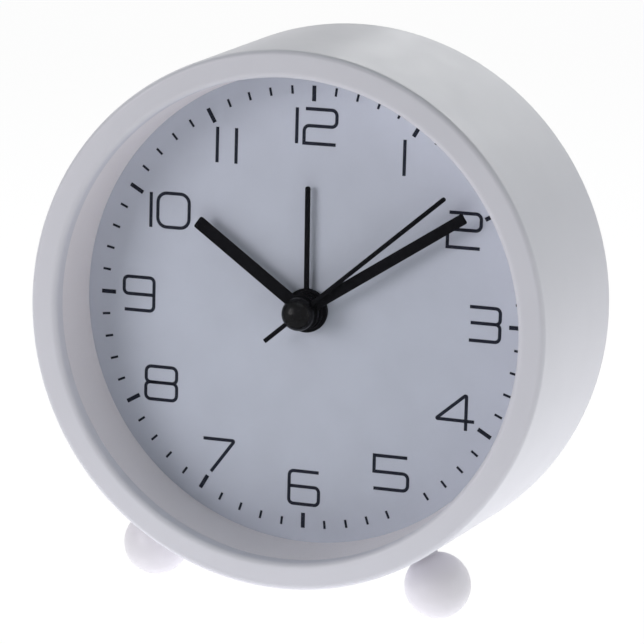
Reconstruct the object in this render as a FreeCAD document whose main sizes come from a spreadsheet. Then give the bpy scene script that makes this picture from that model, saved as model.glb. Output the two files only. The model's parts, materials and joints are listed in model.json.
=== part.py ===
"""Round desk alarm clock on two ball feet, as a parametric document.

Every piece is drawn in the clock's own frame, in millimetres. The dial's axis is Y and points to the back,
X is to the right as seen from the front, and Z is up the dial. A depth is a distance behind the front of
the rim. Angles are in degrees, counter-clockwise from +X as seen from the front. Those of the hands are
clockwise from 12, and the dial with its 12 is turned by dial_turn, clockwise too. At the end the whole
clock leans back until it stands on its two feet and on the lower back edge of its case, and its origin
moves to the middle of its bottom.
"""
import FreeCAD
import Part
import Sketcher
import math
import os
import re

SIZES = {
    # Case
    "case_front_radius": 45.2,
    "case_back_radius": 46.1,
    "case_depth": 35.0,
    "case_bore_radius": 43.2,
    "front_edge_round": 0.9,
    "back_edge_round": 0.5,
    "lip_radius": 40.3,
    "lip_depth": 1.3,
    "lip_edge_round": 1.0,
    "lens_seat_radius": 40.8,
    "seat_gap": 0.1,
    # Lens, reveal and dial
    "lens_thick": 1.5,
    "reveal_front_radius": 40.3,
    "reveal_back_radius": 39.94,
    "reveal_wall": 1.0,
    "dial_depth": 12.9,
    "dial_thick": 0.6,
    "dial_radius": 41.9,
    "dial_turn": -2.07,
    # Frame behind the dial
    "frame_rim_front": 11.5,
    "frame_shelf_radius": 38.5,
    "frame_shelf_thick": 2.0,
    "frame_back": 17.5,
    "frame_band_radius": 41.0,
    "frame_boss_radius": 2.4,
    "frame_boss_place": 40.4,
    "frame_boss_count": 3,
    # Feet
    "foot_radius": 5.6,
    "foot_place_radius": 51.04,
    "foot_depth": 14.0,
    "foot_angle": 30.0,
    "foot_seat_radius": 44.9,
    "foot_neck_radius": 2.4,
    "foot_stud_radius": 0.95,
    "foot_stud_end": 42.1,
    # Movement housing
    "housing_half_width": 28.5,
    "housing_half_height": 28.0,
    "housing_wall": 1.2,
    "housing_corner": 5.0,
    "front_housing_depth": 7.0,
    "divider_top": -10.2,
    "divider_thick": 1.0,
    "post_radius": 2.0,
    "post_side": 24.0,
    "post_top": 23.5,
    "post_bottom": -7.0,
    "sleeve_front": 12.3,
    "sleeve_outer_radius": 3.3,
    "dial_hole_radius": 3.4,
    # Wheels, from the front level to the back one
    "wheel_gap": 0.3,
    "level_step": 1.4,
    "wheel_thick": 0.8,
    "pinion_overhang": 0.2,
    "tooth_head": 0.7,
    "tooth_foot": 1.1,
    "tooth_root_width": 1.6,
    "tooth_pitch_width": 1.36,
    "tooth_tip_width": 0.74,
    "tooth_sunk": 0.35,
    "third_distance": 7.6,
    "third_angle": -20.0,
    "step_distance": 7.7,
    "step_angle": 200.0,
    "setting_distance": 10.5,
    "time_setting_angle": 140.0,
    "alarm_setting_angle": 40.0,
    "minute_pinion_teeth": 12,
    "motion_wheel_teeth": 36,
    "motion_pinion_teeth": 10,
    "hour_wheel_teeth": 40,
    "alarm_wheel_teeth": 36,
    "alarm_pinion_teeth": 14,
    "seconds_pinion_teeth": 8,
    "third_wheel_teeth": 64,
    "third_pinion_teeth": 8,
    "centre_wheel_teeth": 60,
    "seconds_wheel_teeth": 60,
    "step_pinion_teeth": 10,
    "step_wheel_teeth": 40,
    "rotor_pinion_teeth": 8,
    # Arbors and tubes, each running in the next with a small gap
    "running_gap": 0.07,
    "arbor_radius": 0.4,
    "seconds_arbor_radius": 0.5,
    "minute_tube_radius": 1.2,
    "hour_tube_radius": 1.85,
    "alarm_tube_radius": 2.6,
    "setting_shaft_radius": 1.5,
    # Hands
    "hand_thick": 0.3,
    "alarm_hand_rise": 1.0,
    "alarm_hand_length": 20.9,
    "alarm_hand_width": 0.85,
    "alarm_hand_turn": -0.75,
    "alarm_hub_radius": 3.7,
    "hour_hand_rise": 2.1,
    "hour_hand_length": 23.8,
    "hour_hand_width": 2.2,
    "hour_hand_turn": -54.7,
    "hour_hub_radius": 3.2,
    "minute_hand_rise": 3.3,
    "minute_hand_length": 33.1,
    "minute_hand_width": 1.85,
    "minute_hand_turn": 57.0,
    "minute_hub_radius": 3.0,
    "second_hand_rise": 4.3,
    "second_hand_length": 32.5,
    "second_hand_tail": 8.0,
    "second_hand_width": 0.74,
    "second_hand_turn": 49.3,
    "second_hub_radius": 2.7,
    "hub_thick": 0.5,
    "cap_radius": 2.8,
    "cap_height": 1.45,
    "cap_round": 1.1,
    # Step motor
    "magnet_radius": 2.0,
    "magnet_thick": 2.4,
    "stator_hole_radius": 2.4,
    "stator_left": -24.0,
    "stator_right": -9.0,
    "stator_bottom": -7.9,
    "stator_arm_top": -1.0,
    "stator_column_left": -14.0,
    "stator_column_right": -10.2,
    "stator_upper_arm": 10.6,
    "stator_top": 14.0,
    "stator_thick": 1.0,
    "core_width": 3.0,
    "core_offset": 1.0,
    "bobbin_flange_radius": 3.4,
    "bobbin_barrel_radius": 2.0,
    "bobbin_flange_thick": 0.8,
    "winding_radius": 3.1,
    # Circuit and sound
    "board_half_width": 20.5,
    "board_bottom": 15.6,
    "board_top": 26.2,
    "board_thick": 1.2,
    "board_rise": 1.0,
    "board_post_radius": 1.4,
    "crystal_radius": 1.5,
    "crystal_length": 8.0,
    "chip_radius": 3.0,
    "chip_height": 0.9,
    "buzzer_radius": 5.8,
    "buzzer_height": 7.0,
    "buzzer_side": 20.9,
    "buzzer_up": 1.0,
    "buzzer_port_radius": 1.2,
    # Bridge over the train
    "bridge_left": -17.4,
    "bridge_right": 14.6,
    "bridge_bottom": -9.6,
    "bridge_top": 13.2,
    "pillar_radius": 1.4,
    "pillar_drop": 8.2,
    # Battery and contacts
    "battery_radius": 7.2,
    "battery_half_length": 24.7,
    "battery_nub_radius": 2.7,
    "battery_nub_length": 1.0,
    "battery_up": -19.0,
    "battery_door_gap": 0.3,
    "contact_thick": 0.4,
    "contact_half_height": 3.8,
    # Back cover, door, knobs and slider
    "cover_inset": 2.0,
    "cover_thick": 1.8,
    "door_half_width": 26.4,
    "door_bottom": -27.4,
    "door_top": -11.0,
    "door_gap": 0.2,
    "door_rib_half_width": 6.0,
    "door_rib_height": 0.7,
    "door_rib_step": 1.6,
    "door_rib_count": 4,
    "grille_slit_length": 9.0,
    "grille_slit_width": 1.0,
    "grille_step": 2.2,
    "grille_count": 5,
    "knob_radius": 5.5,
    "knob_height": 7.6,
    "knob_gap": 0.4,
    "knob_grooves": 24,
    "knob_groove_radius": 0.45,
    "knob_edge_round": 0.7,
    "slider_up": 22.0,
    "slider_rest": -2.0,
    "slider_travel": 4.0,
    "slider_stem_half_width": 1.5,
    "slider_stem_half_height": 1.0,
    "slider_cap_half_width": 3.0,
    "slider_cap_half_height": 2.0,
    "slider_cap_height": 1.6,
    "slider_gap": 0.2,
    # Screws
    "screw_radius": 0.9,
    "screw_head_radius": 1.8,
    "screw_head_height": 0.9,
    "screw_slot_width": 0.5,
    "screw_slot_depth": 0.5,
    "screw_grip": 5.0,
}

# Depths that follow from the sizes above, as expressions.
DIAL_BACK = "(dial_depth + dial_thick)"
CHAMBER_FRONT = f"({DIAL_BACK} + housing_wall)"
HOUSING_SPLIT = f"({DIAL_BACK} + front_housing_depth)"
COVER_BACK = "(case_depth - cover_inset)"
COVER_FRONT = f"({COVER_BACK} - cover_thick)"
CHAMBER_BACK = f"({COVER_FRONT} - housing_wall)"
KNOB_FRONT = f"({COVER_BACK} + knob_gap)"
LENS_BACK = "(lip_depth + lens_thick)"

doc = FreeCAD.newDocument("Clock")
sheet = doc.addObject("Spreadsheet::Sheet", "Sizes")
pieces = []


def fill_sheet():
    """Write each size in the sheet, beside its name."""
    for row, (name, number) in enumerate(SIZES.items(), 1):
        sheet.set(f"A{row}", name)
        sheet.set(f"B{row}", str(number))
        sheet.setAlias(f"B{row}", name)
    doc.recompute()


def size(name):
    """Read one size from the sheet."""
    return float(sheet.get(name))


def bound(expression):
    """Put the sheet's name before each size in an expression."""
    return re.sub(r"[a-z]+(?:_[a-z]+)+", r"Sizes.\g<0>", expression)


def level(number):
    """Depth of the front face of a wheel level, counted from the dial."""
    return f"({CHAMBER_FRONT} + wheel_gap + {number} * level_step)"


ALARM_LEVEL = level(0)
HOUR_LEVEL = level(1)
MOTION_LEVEL = level(2)
TRAIN_PLATE = level(3)
CENTRE_LEVEL = level(4)
THIRD_LEVEL = level(5)
SECONDS_LEVEL = level(6)
STEP_LEVEL = level(7)
BRIDGE = level(8)
PLATE_BACK = f"({TRAIN_PLATE} + wheel_thick)"
BRIDGE_BACK = f"({BRIDGE} + wheel_thick)"


def polar(distance, angle):
    """A place beside the axis, as X and Z, from the names of a distance and an angle."""
    turn = math.radians(size(angle))
    return size(distance) * math.cos(turn), size(distance) * math.sin(turn)


# Bodies, sketches and features

def new_body(name):
    """Start a piece that is drawn with sketches."""
    body = doc.addObject("PartDesign::Body", name)
    body.Label = name
    body.AllowCompound = True
    pieces.append(body)
    return body


def origin_feature(body, role):
    """One of the body's own planes or axes."""
    return next(item for item in body.Origin.OriginFeatures if item.Role == role)


def sketch_on(body, role, offset="0", turn=None):
    """Attach a sketch to one of the body's planes, moved along its normal and turned."""
    sketch = body.newObject("Sketcher::SketchObject", "Outline")
    sketch.AttachmentSupport = [(origin_feature(body, role), "")]
    sketch.MapMode = "FlatFace"
    if turn is not None:
        sketch.AttachmentOffset = FreeCAD.Placement(FreeCAD.Vector(), turn)
    sketch.setExpression("AttachmentOffset.Base.z", bound(offset))
    return sketch


def sketch_at(body, depth, phase=0.0):
    """A sketch across the clock's axis at a depth, X to the right and Y up."""
    turn = FreeCAD.Rotation(FreeCAD.Vector(0, 0, 1), phase)
    return sketch_on(body, "XZ_Plane", f"-({depth})", turn)


def polygon(sketch, corners):
    """Draw a closed outline with corners given as pairs of expressions."""
    first = sketch.GeometryCount
    count = len(corners)
    step = 2 * math.pi / count
    spots = [FreeCAD.Vector(math.cos(i * step), math.sin(i * step), 0) for i in range(count)]
    sketch.addGeometry([Part.LineSegment(spots[i - 1], spots[i]) for i in range(count)], False)
    joins = [Sketcher.Constraint("Coincident", first + i, 2, first + (i + 1) % count, 1) for i in range(count)]
    sketch.addConstraint(joins)
    for i, corner in enumerate(corners):
        for kind, expression in zip(("DistanceX", "DistanceY"), corner):
            datum = sketch.addConstraint(Sketcher.Constraint(kind, -1, 1, first + i, 1, 1.0))
            sketch.setExpression(f"Constraints[{datum}]", bound(expression))


def rectangle(sketch, left, right, bottom, top):
    """Draw a rectangle between four expressions."""
    polygon(sketch, [(left, bottom), (right, bottom), (right, top), (left, top)])


def circle(sketch, radius, x="0", y="0"):
    """Draw a circle with its radius and centre given as expressions."""
    index = sketch.addGeometry(Part.Circle(FreeCAD.Vector(1, 1, 0), FreeCAD.Vector(0, 0, 1), 1.0), False)
    datum = sketch.addConstraint(Sketcher.Constraint("Radius", index, 1.0))
    sketch.setExpression(f"Constraints[{datum}]", bound(radius))
    for kind, expression in (("DistanceX", x), ("DistanceY", y)):
        datum = sketch.addConstraint(Sketcher.Constraint(kind, -1, 1, index, 3, 1.0))
        sketch.setExpression(f"Constraints[{datum}]", bound(expression))


def pad(body, sketch, length, reverse=True):
    """Raise a sketch, towards the back when it lies across the axis."""
    feature = body.newObject("PartDesign::Pad", "Pad")
    feature.Profile = sketch
    feature.setExpression("Length", bound(length))
    feature.Reversed = reverse
    feature.Refine = False
    return feature


def pocket(body, sketch, length, reverse=False):
    """Cut a sketch away, towards the back when it lies across the axis, and make sure that it cuts."""
    doc.recompute()
    before = body.Shape.Volume
    feature = body.newObject("PartDesign::Pocket", "Pocket")
    feature.Profile = sketch
    feature.setExpression("Length", bound(length))
    feature.Reversed = reverse
    doc.recompute()
    if not body.Shape.Volume < before:
        raise RuntimeError(f"{body.Label}: {feature.Name} cuts nothing")
    return feature


def revolve(body, corners):
    """Turn a profile of radius and depth about the clock's axis."""
    sketch = sketch_on(body, "XY_Plane")
    polygon(sketch, corners)
    feature = body.newObject("PartDesign::Revolution", "Revolution")
    feature.Profile = sketch
    feature.ReferenceAxis = (sketch, ["V_Axis"])
    feature.Angle = 360
    return feature


def repeat_around(body, feature, count):
    """Repeat a feature evenly about the clock's axis."""
    pattern = body.newObject("PartDesign::PolarPattern", "Around")
    pattern.Originals = [feature]
    pattern.Axis = (origin_feature(body, "Y_Axis"), [""])
    pattern.Angle = 360
    pattern.setExpression("Occurrences", bound(count))
    pattern.Refine = False
    body.Tip = pattern
    return pattern


def repeat_along(body, feature, axis, step, count):
    """Repeat a feature in a row along one of the body's axes."""
    pattern = body.newObject("PartDesign::LinearPattern", "Row")
    pattern.Originals = [feature]
    pattern.Direction = (origin_feature(body, axis), [""])
    pattern.Reversed = False
    pattern.setExpression("Length", bound(f"({count} - 1) * {step}"))
    pattern.setExpression("Occurrences", bound(count))
    body.Tip = pattern
    return pattern


def ring_edges(shape, radius, depth):
    """Names of the round edges with this radius, centred on the axis at this depth."""
    names = []
    for number, edge in enumerate(shape.Edges, 1):
        round_edge = isinstance(edge.Curve, Part.Circle)
        if round_edge and abs(edge.Curve.Radius - radius) < 1e-4 and abs(edge.Curve.Center.y - depth) < 1e-4:
            names.append(f"Edge{number}")
    return names


def straight_edges(shape, keep):
    """Names of the straight edges along the axis whose middle the test keeps."""
    names = []
    for number, edge in enumerate(shape.Edges, 1):
        if isinstance(edge.Curve, Part.Line) and abs(edge.tangentAt(edge.FirstParameter).y) > 0.999:
            if keep(edge.CenterOfMass):
                names.append(f"Edge{number}")
    return names


def soften(body, radius, pick):
    """Round the edges that pick names on the piece so far."""
    doc.recompute()
    base = body.Tip
    names = pick(base.Shape)
    if not names:
        raise RuntimeError(f"{body.Label}: no edge to round")
    feature = body.newObject("PartDesign::Fillet", "Fillet")
    feature.Base = (base, names)
    feature.setExpression("Radius", bound(radius))
    return feature


def place(piece, x=0.0, depth=0.0, z=0.0, turn=0.0, about=(0, 1, 0)):
    """Put a piece at a place in the clock's frame, turned about a direction there."""
    rotation = FreeCAD.Rotation(FreeCAD.Vector(*about), turn)
    piece.Placement = FreeCAD.Placement(FreeCAD.Vector(x, depth, z), rotation)


# Wheels

def module_of(distance, first_teeth, second_teeth):
    """Tooth module of two wheels in mesh, as an expression."""
    return f"(2 * {distance} / ({first_teeth} + {second_teeth}))"


def mesh_phase(direction, phase, teeth, other_teeth):
    """Turn of a wheel that puts its gaps round the teeth of a wheel in this direction before it."""
    return direction + 180 + 180 / other_teeth - (phase - direction) * teeth / other_teeth


def gear(body, depth, thick, teeth, module, phase=0.0):
    """Add a disc with straight-flanked teeth, one of them centred on the phase angle."""
    disc = sketch_at(body, depth)
    circle(disc, f"({teeth} / 2 - tooth_foot) * {module}")
    pad(body, disc, thick)
    tooth = sketch_at(body, depth, phase)
    root = f"({teeth} / 2 - tooth_foot - tooth_sunk) * {module}"
    pitch = f"({teeth} / 2) * {module}"
    tip = f"({teeth} / 2 + tooth_head) * {module}"
    corners = [(root, f"-tooth_root_width * {module} / 2")]
    corners.append((pitch, f"-tooth_pitch_width * {module} / 2"))
    corners.append((tip, f"-tooth_tip_width * {module} / 2"))
    corners.append((tip, f"tooth_tip_width * {module} / 2"))
    corners.append((pitch, f"tooth_pitch_width * {module} / 2"))
    corners.append((root, f"tooth_root_width * {module} / 2"))
    polygon(tooth, corners)
    repeat_around(body, pad(body, tooth, thick), teeth)


def wheel(body, depth, teeth, module, phase=0.0):
    """Add a wheel on a level."""
    gear(body, depth, "wheel_thick", teeth, module, phase)


def pinion(body, depth, teeth, module, phase=0.0):
    """Add a pinion, a little thicker than the wheel that it drives on this level."""
    gear(body, f"{depth} - pinion_overhang", "(wheel_thick + 2 * pinion_overhang)", teeth, module, phase)


def cylinder(body, radius, front, back):
    """Add a round stretch on the piece's own axis, between two depths."""
    sketch = sketch_at(body, front)
    circle(sketch, radius)
    return pad(body, sketch, f"({back}) - ({front})")


def bore(body, radius, front, back):
    """Cut a round hole on the piece's own axis, between two depths."""
    sketch = sketch_at(body, front)
    circle(sketch, radius)
    return pocket(body, sketch, f"({back}) - ({front})")


# Case, lens, reveal and dial

def radial_holes(body, radius, start, length):
    """Cut a round hole towards each foot, from a distance off the axis outwards."""
    for side in (-1, 1):
        turn = FreeCAD.Rotation(FreeCAD.Vector(0, 1, 0), side * size("foot_angle"))
        sketch = body.newObject("Sketcher::SketchObject", "FootHole")
        sketch.AttachmentSupport = [(origin_feature(body, "XY_Plane"), "")]
        sketch.MapMode = "FlatFace"
        sketch.AttachmentOffset = FreeCAD.Placement(turn.multVec(FreeCAD.Vector(0, 0, -start)), turn)
        circle(sketch, radius, "0", "foot_depth")
        pocket(body, sketch, length)


def make_case():
    """Outer shell with a small lip in front, a seat for the lens behind it, and seats for the feet."""
    body = new_body("case_shell")
    corners = [("lip_radius", "0"), ("case_front_radius", "0"), ("case_back_radius", "case_depth")]
    corners += [("case_bore_radius", "case_depth"), ("case_bore_radius", LENS_BACK)]
    corners += [("lens_seat_radius", LENS_BACK), ("lens_seat_radius", "lip_depth")]
    corners.append(("lip_radius", "lip_depth"))
    revolve(body, corners)
    soften(body, "front_edge_round", lambda shape: ring_edges(shape, size("case_front_radius"), 0))
    soften(body, "lip_edge_round", lambda shape: ring_edges(shape, size("lip_radius"), 0))
    back = size("case_depth")
    soften(body, "back_edge_round", lambda shape: ring_edges(shape, size("case_back_radius"), back))
    radial_holes(body, "foot_stud_radius + seat_gap / 2", size("lip_radius"), "foot_place_radius - lip_radius")
    radial_holes(body, "foot_neck_radius + seat_gap / 2", size("foot_seat_radius"), "foot_radius")


def make_lens():
    """Clear flat disc behind the lip."""
    body = new_body("lens")
    cylinder(body, "lens_seat_radius - seat_gap", "lip_depth", LENS_BACK)


def make_reveal():
    """White wall between the lens and the dial, with a flange in front."""
    body = new_body("reveal_ring")
    outer = "case_bore_radius - seat_gap"
    flange_back = f"{LENS_BACK} + reveal_wall"
    corners = [("reveal_front_radius", LENS_BACK), (outer, LENS_BACK), (outer, flange_back)]
    corners.append(("reveal_front_radius + reveal_wall", flange_back))
    corners.append(("reveal_back_radius + reveal_wall", "dial_depth"))
    corners.append(("reveal_back_radius", "dial_depth"))
    revolve(body, corners)


def make_dial():
    """Flat dial plate with a hole for the hand tubes."""
    body = new_body("dial")
    face = sketch_at(body, "dial_depth")
    circle(face, "dial_radius")
    circle(face, "dial_hole_radius")
    pad(body, face, "dial_thick")


def make_frame():
    """Ring that holds the dial from behind, with posts for the screws of the back cover."""
    body = new_body("dial_frame")
    outer = "case_bore_radius - seat_gap"
    shelf_back = f"{DIAL_BACK} + frame_shelf_thick"
    corners = [(outer, "frame_rim_front"), (outer, "frame_back"), ("frame_band_radius", "frame_back")]
    corners += [("frame_band_radius", shelf_back), ("frame_shelf_radius", shelf_back)]
    corners += [("frame_shelf_radius", DIAL_BACK), ("dial_radius + seat_gap", DIAL_BACK)]
    corners.append(("dial_radius + seat_gap", "frame_rim_front"))
    revolve(body, corners)
    radial_holes(body, "foot_stud_radius + seat_gap / 2", size("lip_radius"), "foot_radius")
    boss = sketch_at(body, DIAL_BACK)
    circle(boss, "frame_boss_radius", "0", "frame_boss_place")
    repeat_around(body, pad(body, boss, f"{COVER_FRONT} - {DIAL_BACK}"), "frame_boss_count")
    hole = sketch_at(body, f"{COVER_FRONT} - screw_grip")
    circle(hole, "screw_radius", "0", "frame_boss_place")
    repeat_around(body, pocket(body, hole, "screw_grip"), "frame_boss_count")


def make_foot(name, side):
    """Ball foot with a neck that sits in the case and a stud through the case wall."""
    ball = doc.addObject("Part::Sphere", f"{name}_ball")
    ball.setExpression("Radius", bound("foot_radius"))
    neck = doc.addObject("Part::Cylinder", f"{name}_neck")
    neck.setExpression("Radius", bound("foot_neck_radius"))
    neck.setExpression("Height", bound("foot_place_radius - foot_seat_radius"))
    stud = doc.addObject("Part::Cylinder", f"{name}_stud")
    stud.setExpression("Radius", bound("foot_stud_radius"))
    stud.setExpression("Height", bound("foot_place_radius - foot_stud_end"))
    foot = doc.addObject("Part::MultiFuse", name)
    foot.Shapes = [ball, neck, stud]
    foot.Label = name
    angle = math.radians(size("foot_angle"))
    reach = size("foot_place_radius")
    place(foot, side * reach * math.sin(angle), size("foot_depth"), -reach * math.cos(angle),
          -side * size("foot_angle"))
    pieces.append(foot)


# Movement housing and plates

def housing_outline(body, depth):
    """Sketch of the housing's outer rectangle."""
    sketch = sketch_at(body, depth)
    rectangle(sketch, "-housing_half_width", "housing_half_width", "-housing_half_height", "housing_half_height")
    return sketch


def round_corners(body):
    """Round the four corners of a housing half, first inside and then outside."""
    wall = size("housing_wall")
    side = size("housing_half_width")
    end = size("housing_half_height")

    def at_corner(spot, inset):
        return abs(abs(spot.x) - side + inset) < 0.01 and abs(abs(spot.z) - end + inset) < 0.01

    soften(body, "housing_corner - housing_wall",
           lambda shape: straight_edges(shape, lambda spot: at_corner(spot, wall)))
    soften(body, "housing_corner", lambda shape: straight_edges(shape, lambda spot: at_corner(spot, 0)))


def upper_chamber(body, depth):
    """Sketch of the room for the train."""
    sketch = sketch_at(body, depth)
    side = "(housing_half_width - housing_wall)"
    rectangle(sketch, f"-{side}", side, "divider_top", "housing_half_height - housing_wall")
    return sketch


def battery_chamber(body, depth):
    """Sketch of the room for the battery."""
    sketch = sketch_at(body, depth)
    side = "(housing_half_width - housing_wall)"
    rectangle(sketch, f"-{side}", side, "housing_wall - housing_half_height", "divider_top - divider_thick")
    return sketch


def post_places():
    """Places of the four posts that carry the train plate, as pairs of expressions."""
    return [(side, up) for side in ("-post_side", "post_side") for up in ("post_bottom", "post_top")]


def make_front_housing():
    """Front half of the movement housing, against the back of the dial."""
    body = new_body("movement_front_housing")
    pad(body, housing_outline(body, DIAL_BACK), "front_housing_depth")
    pocket(body, upper_chamber(body, CHAMBER_FRONT), f"{HOUSING_SPLIT} - {CHAMBER_FRONT}")
    pocket(body, battery_chamber(body, CHAMBER_FRONT), f"{HOUSING_SPLIT} - {CHAMBER_FRONT}")
    round_corners(body)
    posts = sketch_at(body, CHAMBER_FRONT)
    for x, z in post_places():
        circle(posts, "post_radius", x, z)
    pad(body, posts, f"{TRAIN_PLATE} - {CHAMBER_FRONT}")
    holes = sketch_at(body, CHAMBER_FRONT)
    for x, z in post_places():
        circle(holes, "screw_radius", x, z)
    pocket(body, holes, f"{TRAIN_PLATE} - {CHAMBER_FRONT}")
    cylinder(body, "sleeve_outer_radius", "sleeve_front", CHAMBER_FRONT)
    bore(body, "alarm_tube_radius + running_gap", "sleeve_front", CHAMBER_FRONT)


def make_rear_housing():
    """Back half of the movement housing, open where the battery goes in."""
    body = new_body("movement_rear_housing")
    pad(body, housing_outline(body, HOUSING_SPLIT), f"{COVER_FRONT} - {HOUSING_SPLIT}")
    pocket(body, upper_chamber(body, HOUSING_SPLIT), f"{CHAMBER_BACK} - {HOUSING_SPLIT}")
    pocket(body, battery_chamber(body, HOUSING_SPLIT), f"{COVER_FRONT} - {HOUSING_SPLIT}")
    round_corners(body)
    openings = sketch_at(body, CHAMBER_BACK)
    for angle in ("time_setting_angle", "alarm_setting_angle"):
        circle(openings, "setting_shaft_radius + running_gap",
               f"setting_distance * cos({angle})", f"setting_distance * sin({angle})")
    slider_slot(openings)
    grille(openings)
    pocket(body, openings, "housing_wall")


def slider_slot(sketch):
    """Opening for the stem of the alarm slider over its whole travel."""
    left = "slider_rest - slider_stem_half_width - slider_gap"
    right = "slider_rest + slider_travel + slider_stem_half_width + slider_gap"
    half = "(slider_stem_half_height + slider_gap)"
    rectangle(sketch, left, right, f"slider_up - {half}", f"slider_up + {half}")


def grille(sketch):
    """Row of slits in front of the buzzer."""
    for number in range(int(size("grille_count"))):
        middle = f"(buzzer_up + ({number} - (grille_count - 1) / 2) * grille_step)"
        rectangle(sketch, "buzzer_side - grille_slit_length / 2", "buzzer_side + grille_slit_length / 2",
                  f"{middle} - grille_slit_width / 2", f"{middle} + grille_slit_width / 2")


def axis_holes(sketch, setting_hole="setting_shaft_radius + running_gap"):
    """Bearing holes for the train's arbors and the two setting shafts."""
    circle(sketch, "arbor_radius + running_gap", "third_distance * cos(third_angle)",
           "third_distance * sin(third_angle)")
    circle(sketch, "arbor_radius + running_gap", "step_distance * cos(step_angle)",
           "step_distance * sin(step_angle)")
    circle(sketch, "arbor_radius + running_gap", f"(step_distance + {ROTOR_DISTANCE}) * cos(step_angle)",
           f"(step_distance + {ROTOR_DISTANCE}) * sin(step_angle)")
    for angle in ("time_setting_angle", "alarm_setting_angle"):
        circle(sketch, setting_hole, f"setting_distance * cos({angle})", f"setting_distance * sin({angle})")


def make_train_plate():
    """Plate across the housing that carries the train, the board and the buzzer."""
    body = new_body("train_plate")
    face = sketch_at(body, TRAIN_PLATE)
    side = "(housing_half_width - housing_wall - seat_gap)"
    rectangle(face, f"-{side}", side, "divider_top + seat_gap", "housing_half_height - housing_wall - seat_gap")
    circle(face, "minute_tube_radius + running_gap")
    axis_holes(face)
    for x, z in post_places():
        circle(face, "screw_radius", x, z)
    pad(body, face, "wheel_thick")
    top = size("divider_top") + 1
    reach = size("post_side") + 1
    soften(body, "housing_corner",
           lambda shape: straight_edges(shape, lambda spot: spot.z > top and abs(spot.x) > reach))
    posts = sketch_at(body, PLATE_BACK)
    for side in ("-", ""):
        circle(posts, "board_post_radius", f"{side}(board_half_width - 2 * board_post_radius)",
               "(board_bottom + board_top) / 2")
    pad(body, posts, "board_rise")


def pillar_places():
    """Places of the bridge's three pillars, as pairs of expressions."""
    top = "(bridge_top - pillar_radius)"
    return [("bridge_left + pillar_radius", f"{top} - pillar_drop + pillar_radius"), ("0", top),
            ("bridge_right - pillar_radius", top)]


def make_bridge():
    """Bridge that holds the back ends of the arbors."""
    body = new_body("train_bridge")
    face = sketch_at(body, BRIDGE)
    rectangle(face, "bridge_left", "bridge_right", "bridge_bottom", "bridge_top")
    circle(face, "seconds_arbor_radius + running_gap")
    axis_holes(face)
    pad(body, face, "wheel_thick")
    pillars = sketch_at(body, PLATE_BACK)
    for x, z in pillar_places():
        circle(pillars, "pillar_radius", x, z)
    pad(body, pillars, f"{BRIDGE} - {PLATE_BACK}")
    holes = sketch_at(body, f"{BRIDGE_BACK} - screw_grip")
    for x, z in pillar_places():
        circle(holes, "screw_radius", x, z)
    pocket(body, holes, "screw_grip")


# Wheels and arbors

SETTING_MODULE = module_of("setting_distance", "minute_pinion_teeth", "motion_wheel_teeth")
HOUR_MODULE = module_of("setting_distance", "motion_pinion_teeth", "hour_wheel_teeth")
ALARM_MODULE = module_of("setting_distance", "alarm_wheel_teeth", "alarm_pinion_teeth")
THIRD_MODULE = module_of("third_distance", "seconds_pinion_teeth", "third_wheel_teeth")
CENTRE_MODULE = module_of("third_distance", "third_pinion_teeth", "centre_wheel_teeth")
STEP_MODULE = module_of("step_distance", "seconds_wheel_teeth", "step_pinion_teeth")
ROTOR_DISTANCE = f"({STEP_MODULE} * (step_wheel_teeth + rotor_pinion_teeth) / 2)"


def hand_front(name):
    """Depth of the front of a hand's hub."""
    return f"(dial_depth - {name}_hand_rise - hub_thick)"


def make_alarm_wheel():
    """Alarm wheel with the tube that carries the alarm hand."""
    body = new_body("alarm_wheel")
    cylinder(body, "alarm_tube_radius", hand_front("alarm"), ALARM_LEVEL)
    wheel(body, ALARM_LEVEL, "alarm_wheel_teeth", ALARM_MODULE)
    bore(body, "hour_tube_radius + running_gap", hand_front("alarm"), f"{ALARM_LEVEL} + wheel_thick")


def make_hour_wheel():
    """Hour wheel with the tube that carries the hour hand."""
    body = new_body("hour_wheel")
    cylinder(body, "hour_tube_radius", hand_front("hour"), HOUR_LEVEL)
    phase = mesh_phase(size("time_setting_angle") + 180, 0, size("motion_pinion_teeth"), size("hour_wheel_teeth"))
    wheel(body, HOUR_LEVEL, "hour_wheel_teeth", HOUR_MODULE, phase)
    bore(body, "minute_tube_radius + running_gap", hand_front("hour"), f"{HOUR_LEVEL} + wheel_thick")


def make_minute_pinion():
    """Pinion with the tube that carries the minute hand and, behind, the centre wheel's clutch."""
    body = new_body("minute_pinion")
    cylinder(body, "minute_tube_radius", hand_front("minute"), f"{CENTRE_LEVEL} + wheel_thick")
    pinion(body, MOTION_LEVEL, "minute_pinion_teeth", SETTING_MODULE)
    bore(body, "seconds_arbor_radius + running_gap", hand_front("minute"), f"{CENTRE_LEVEL} + wheel_thick")


def make_motion_wheel():
    """Wheel and pinion between the minute and hour wheels, on the shaft of the time knob."""
    body = new_body("motion_wheel")
    cylinder(body, "setting_shaft_radius", f"{HOUR_LEVEL} - pinion_overhang", f"{KNOB_FRONT} + knob_height / 2")
    pinion(body, HOUR_LEVEL, "motion_pinion_teeth", HOUR_MODULE)
    phase = mesh_phase(size("time_setting_angle"), 0, size("minute_pinion_teeth"), size("motion_wheel_teeth"))
    wheel(body, MOTION_LEVEL, "motion_wheel_teeth", SETTING_MODULE, phase)
    x, z = polar("setting_distance", "time_setting_angle")
    place(body, x, 0, z)


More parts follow.
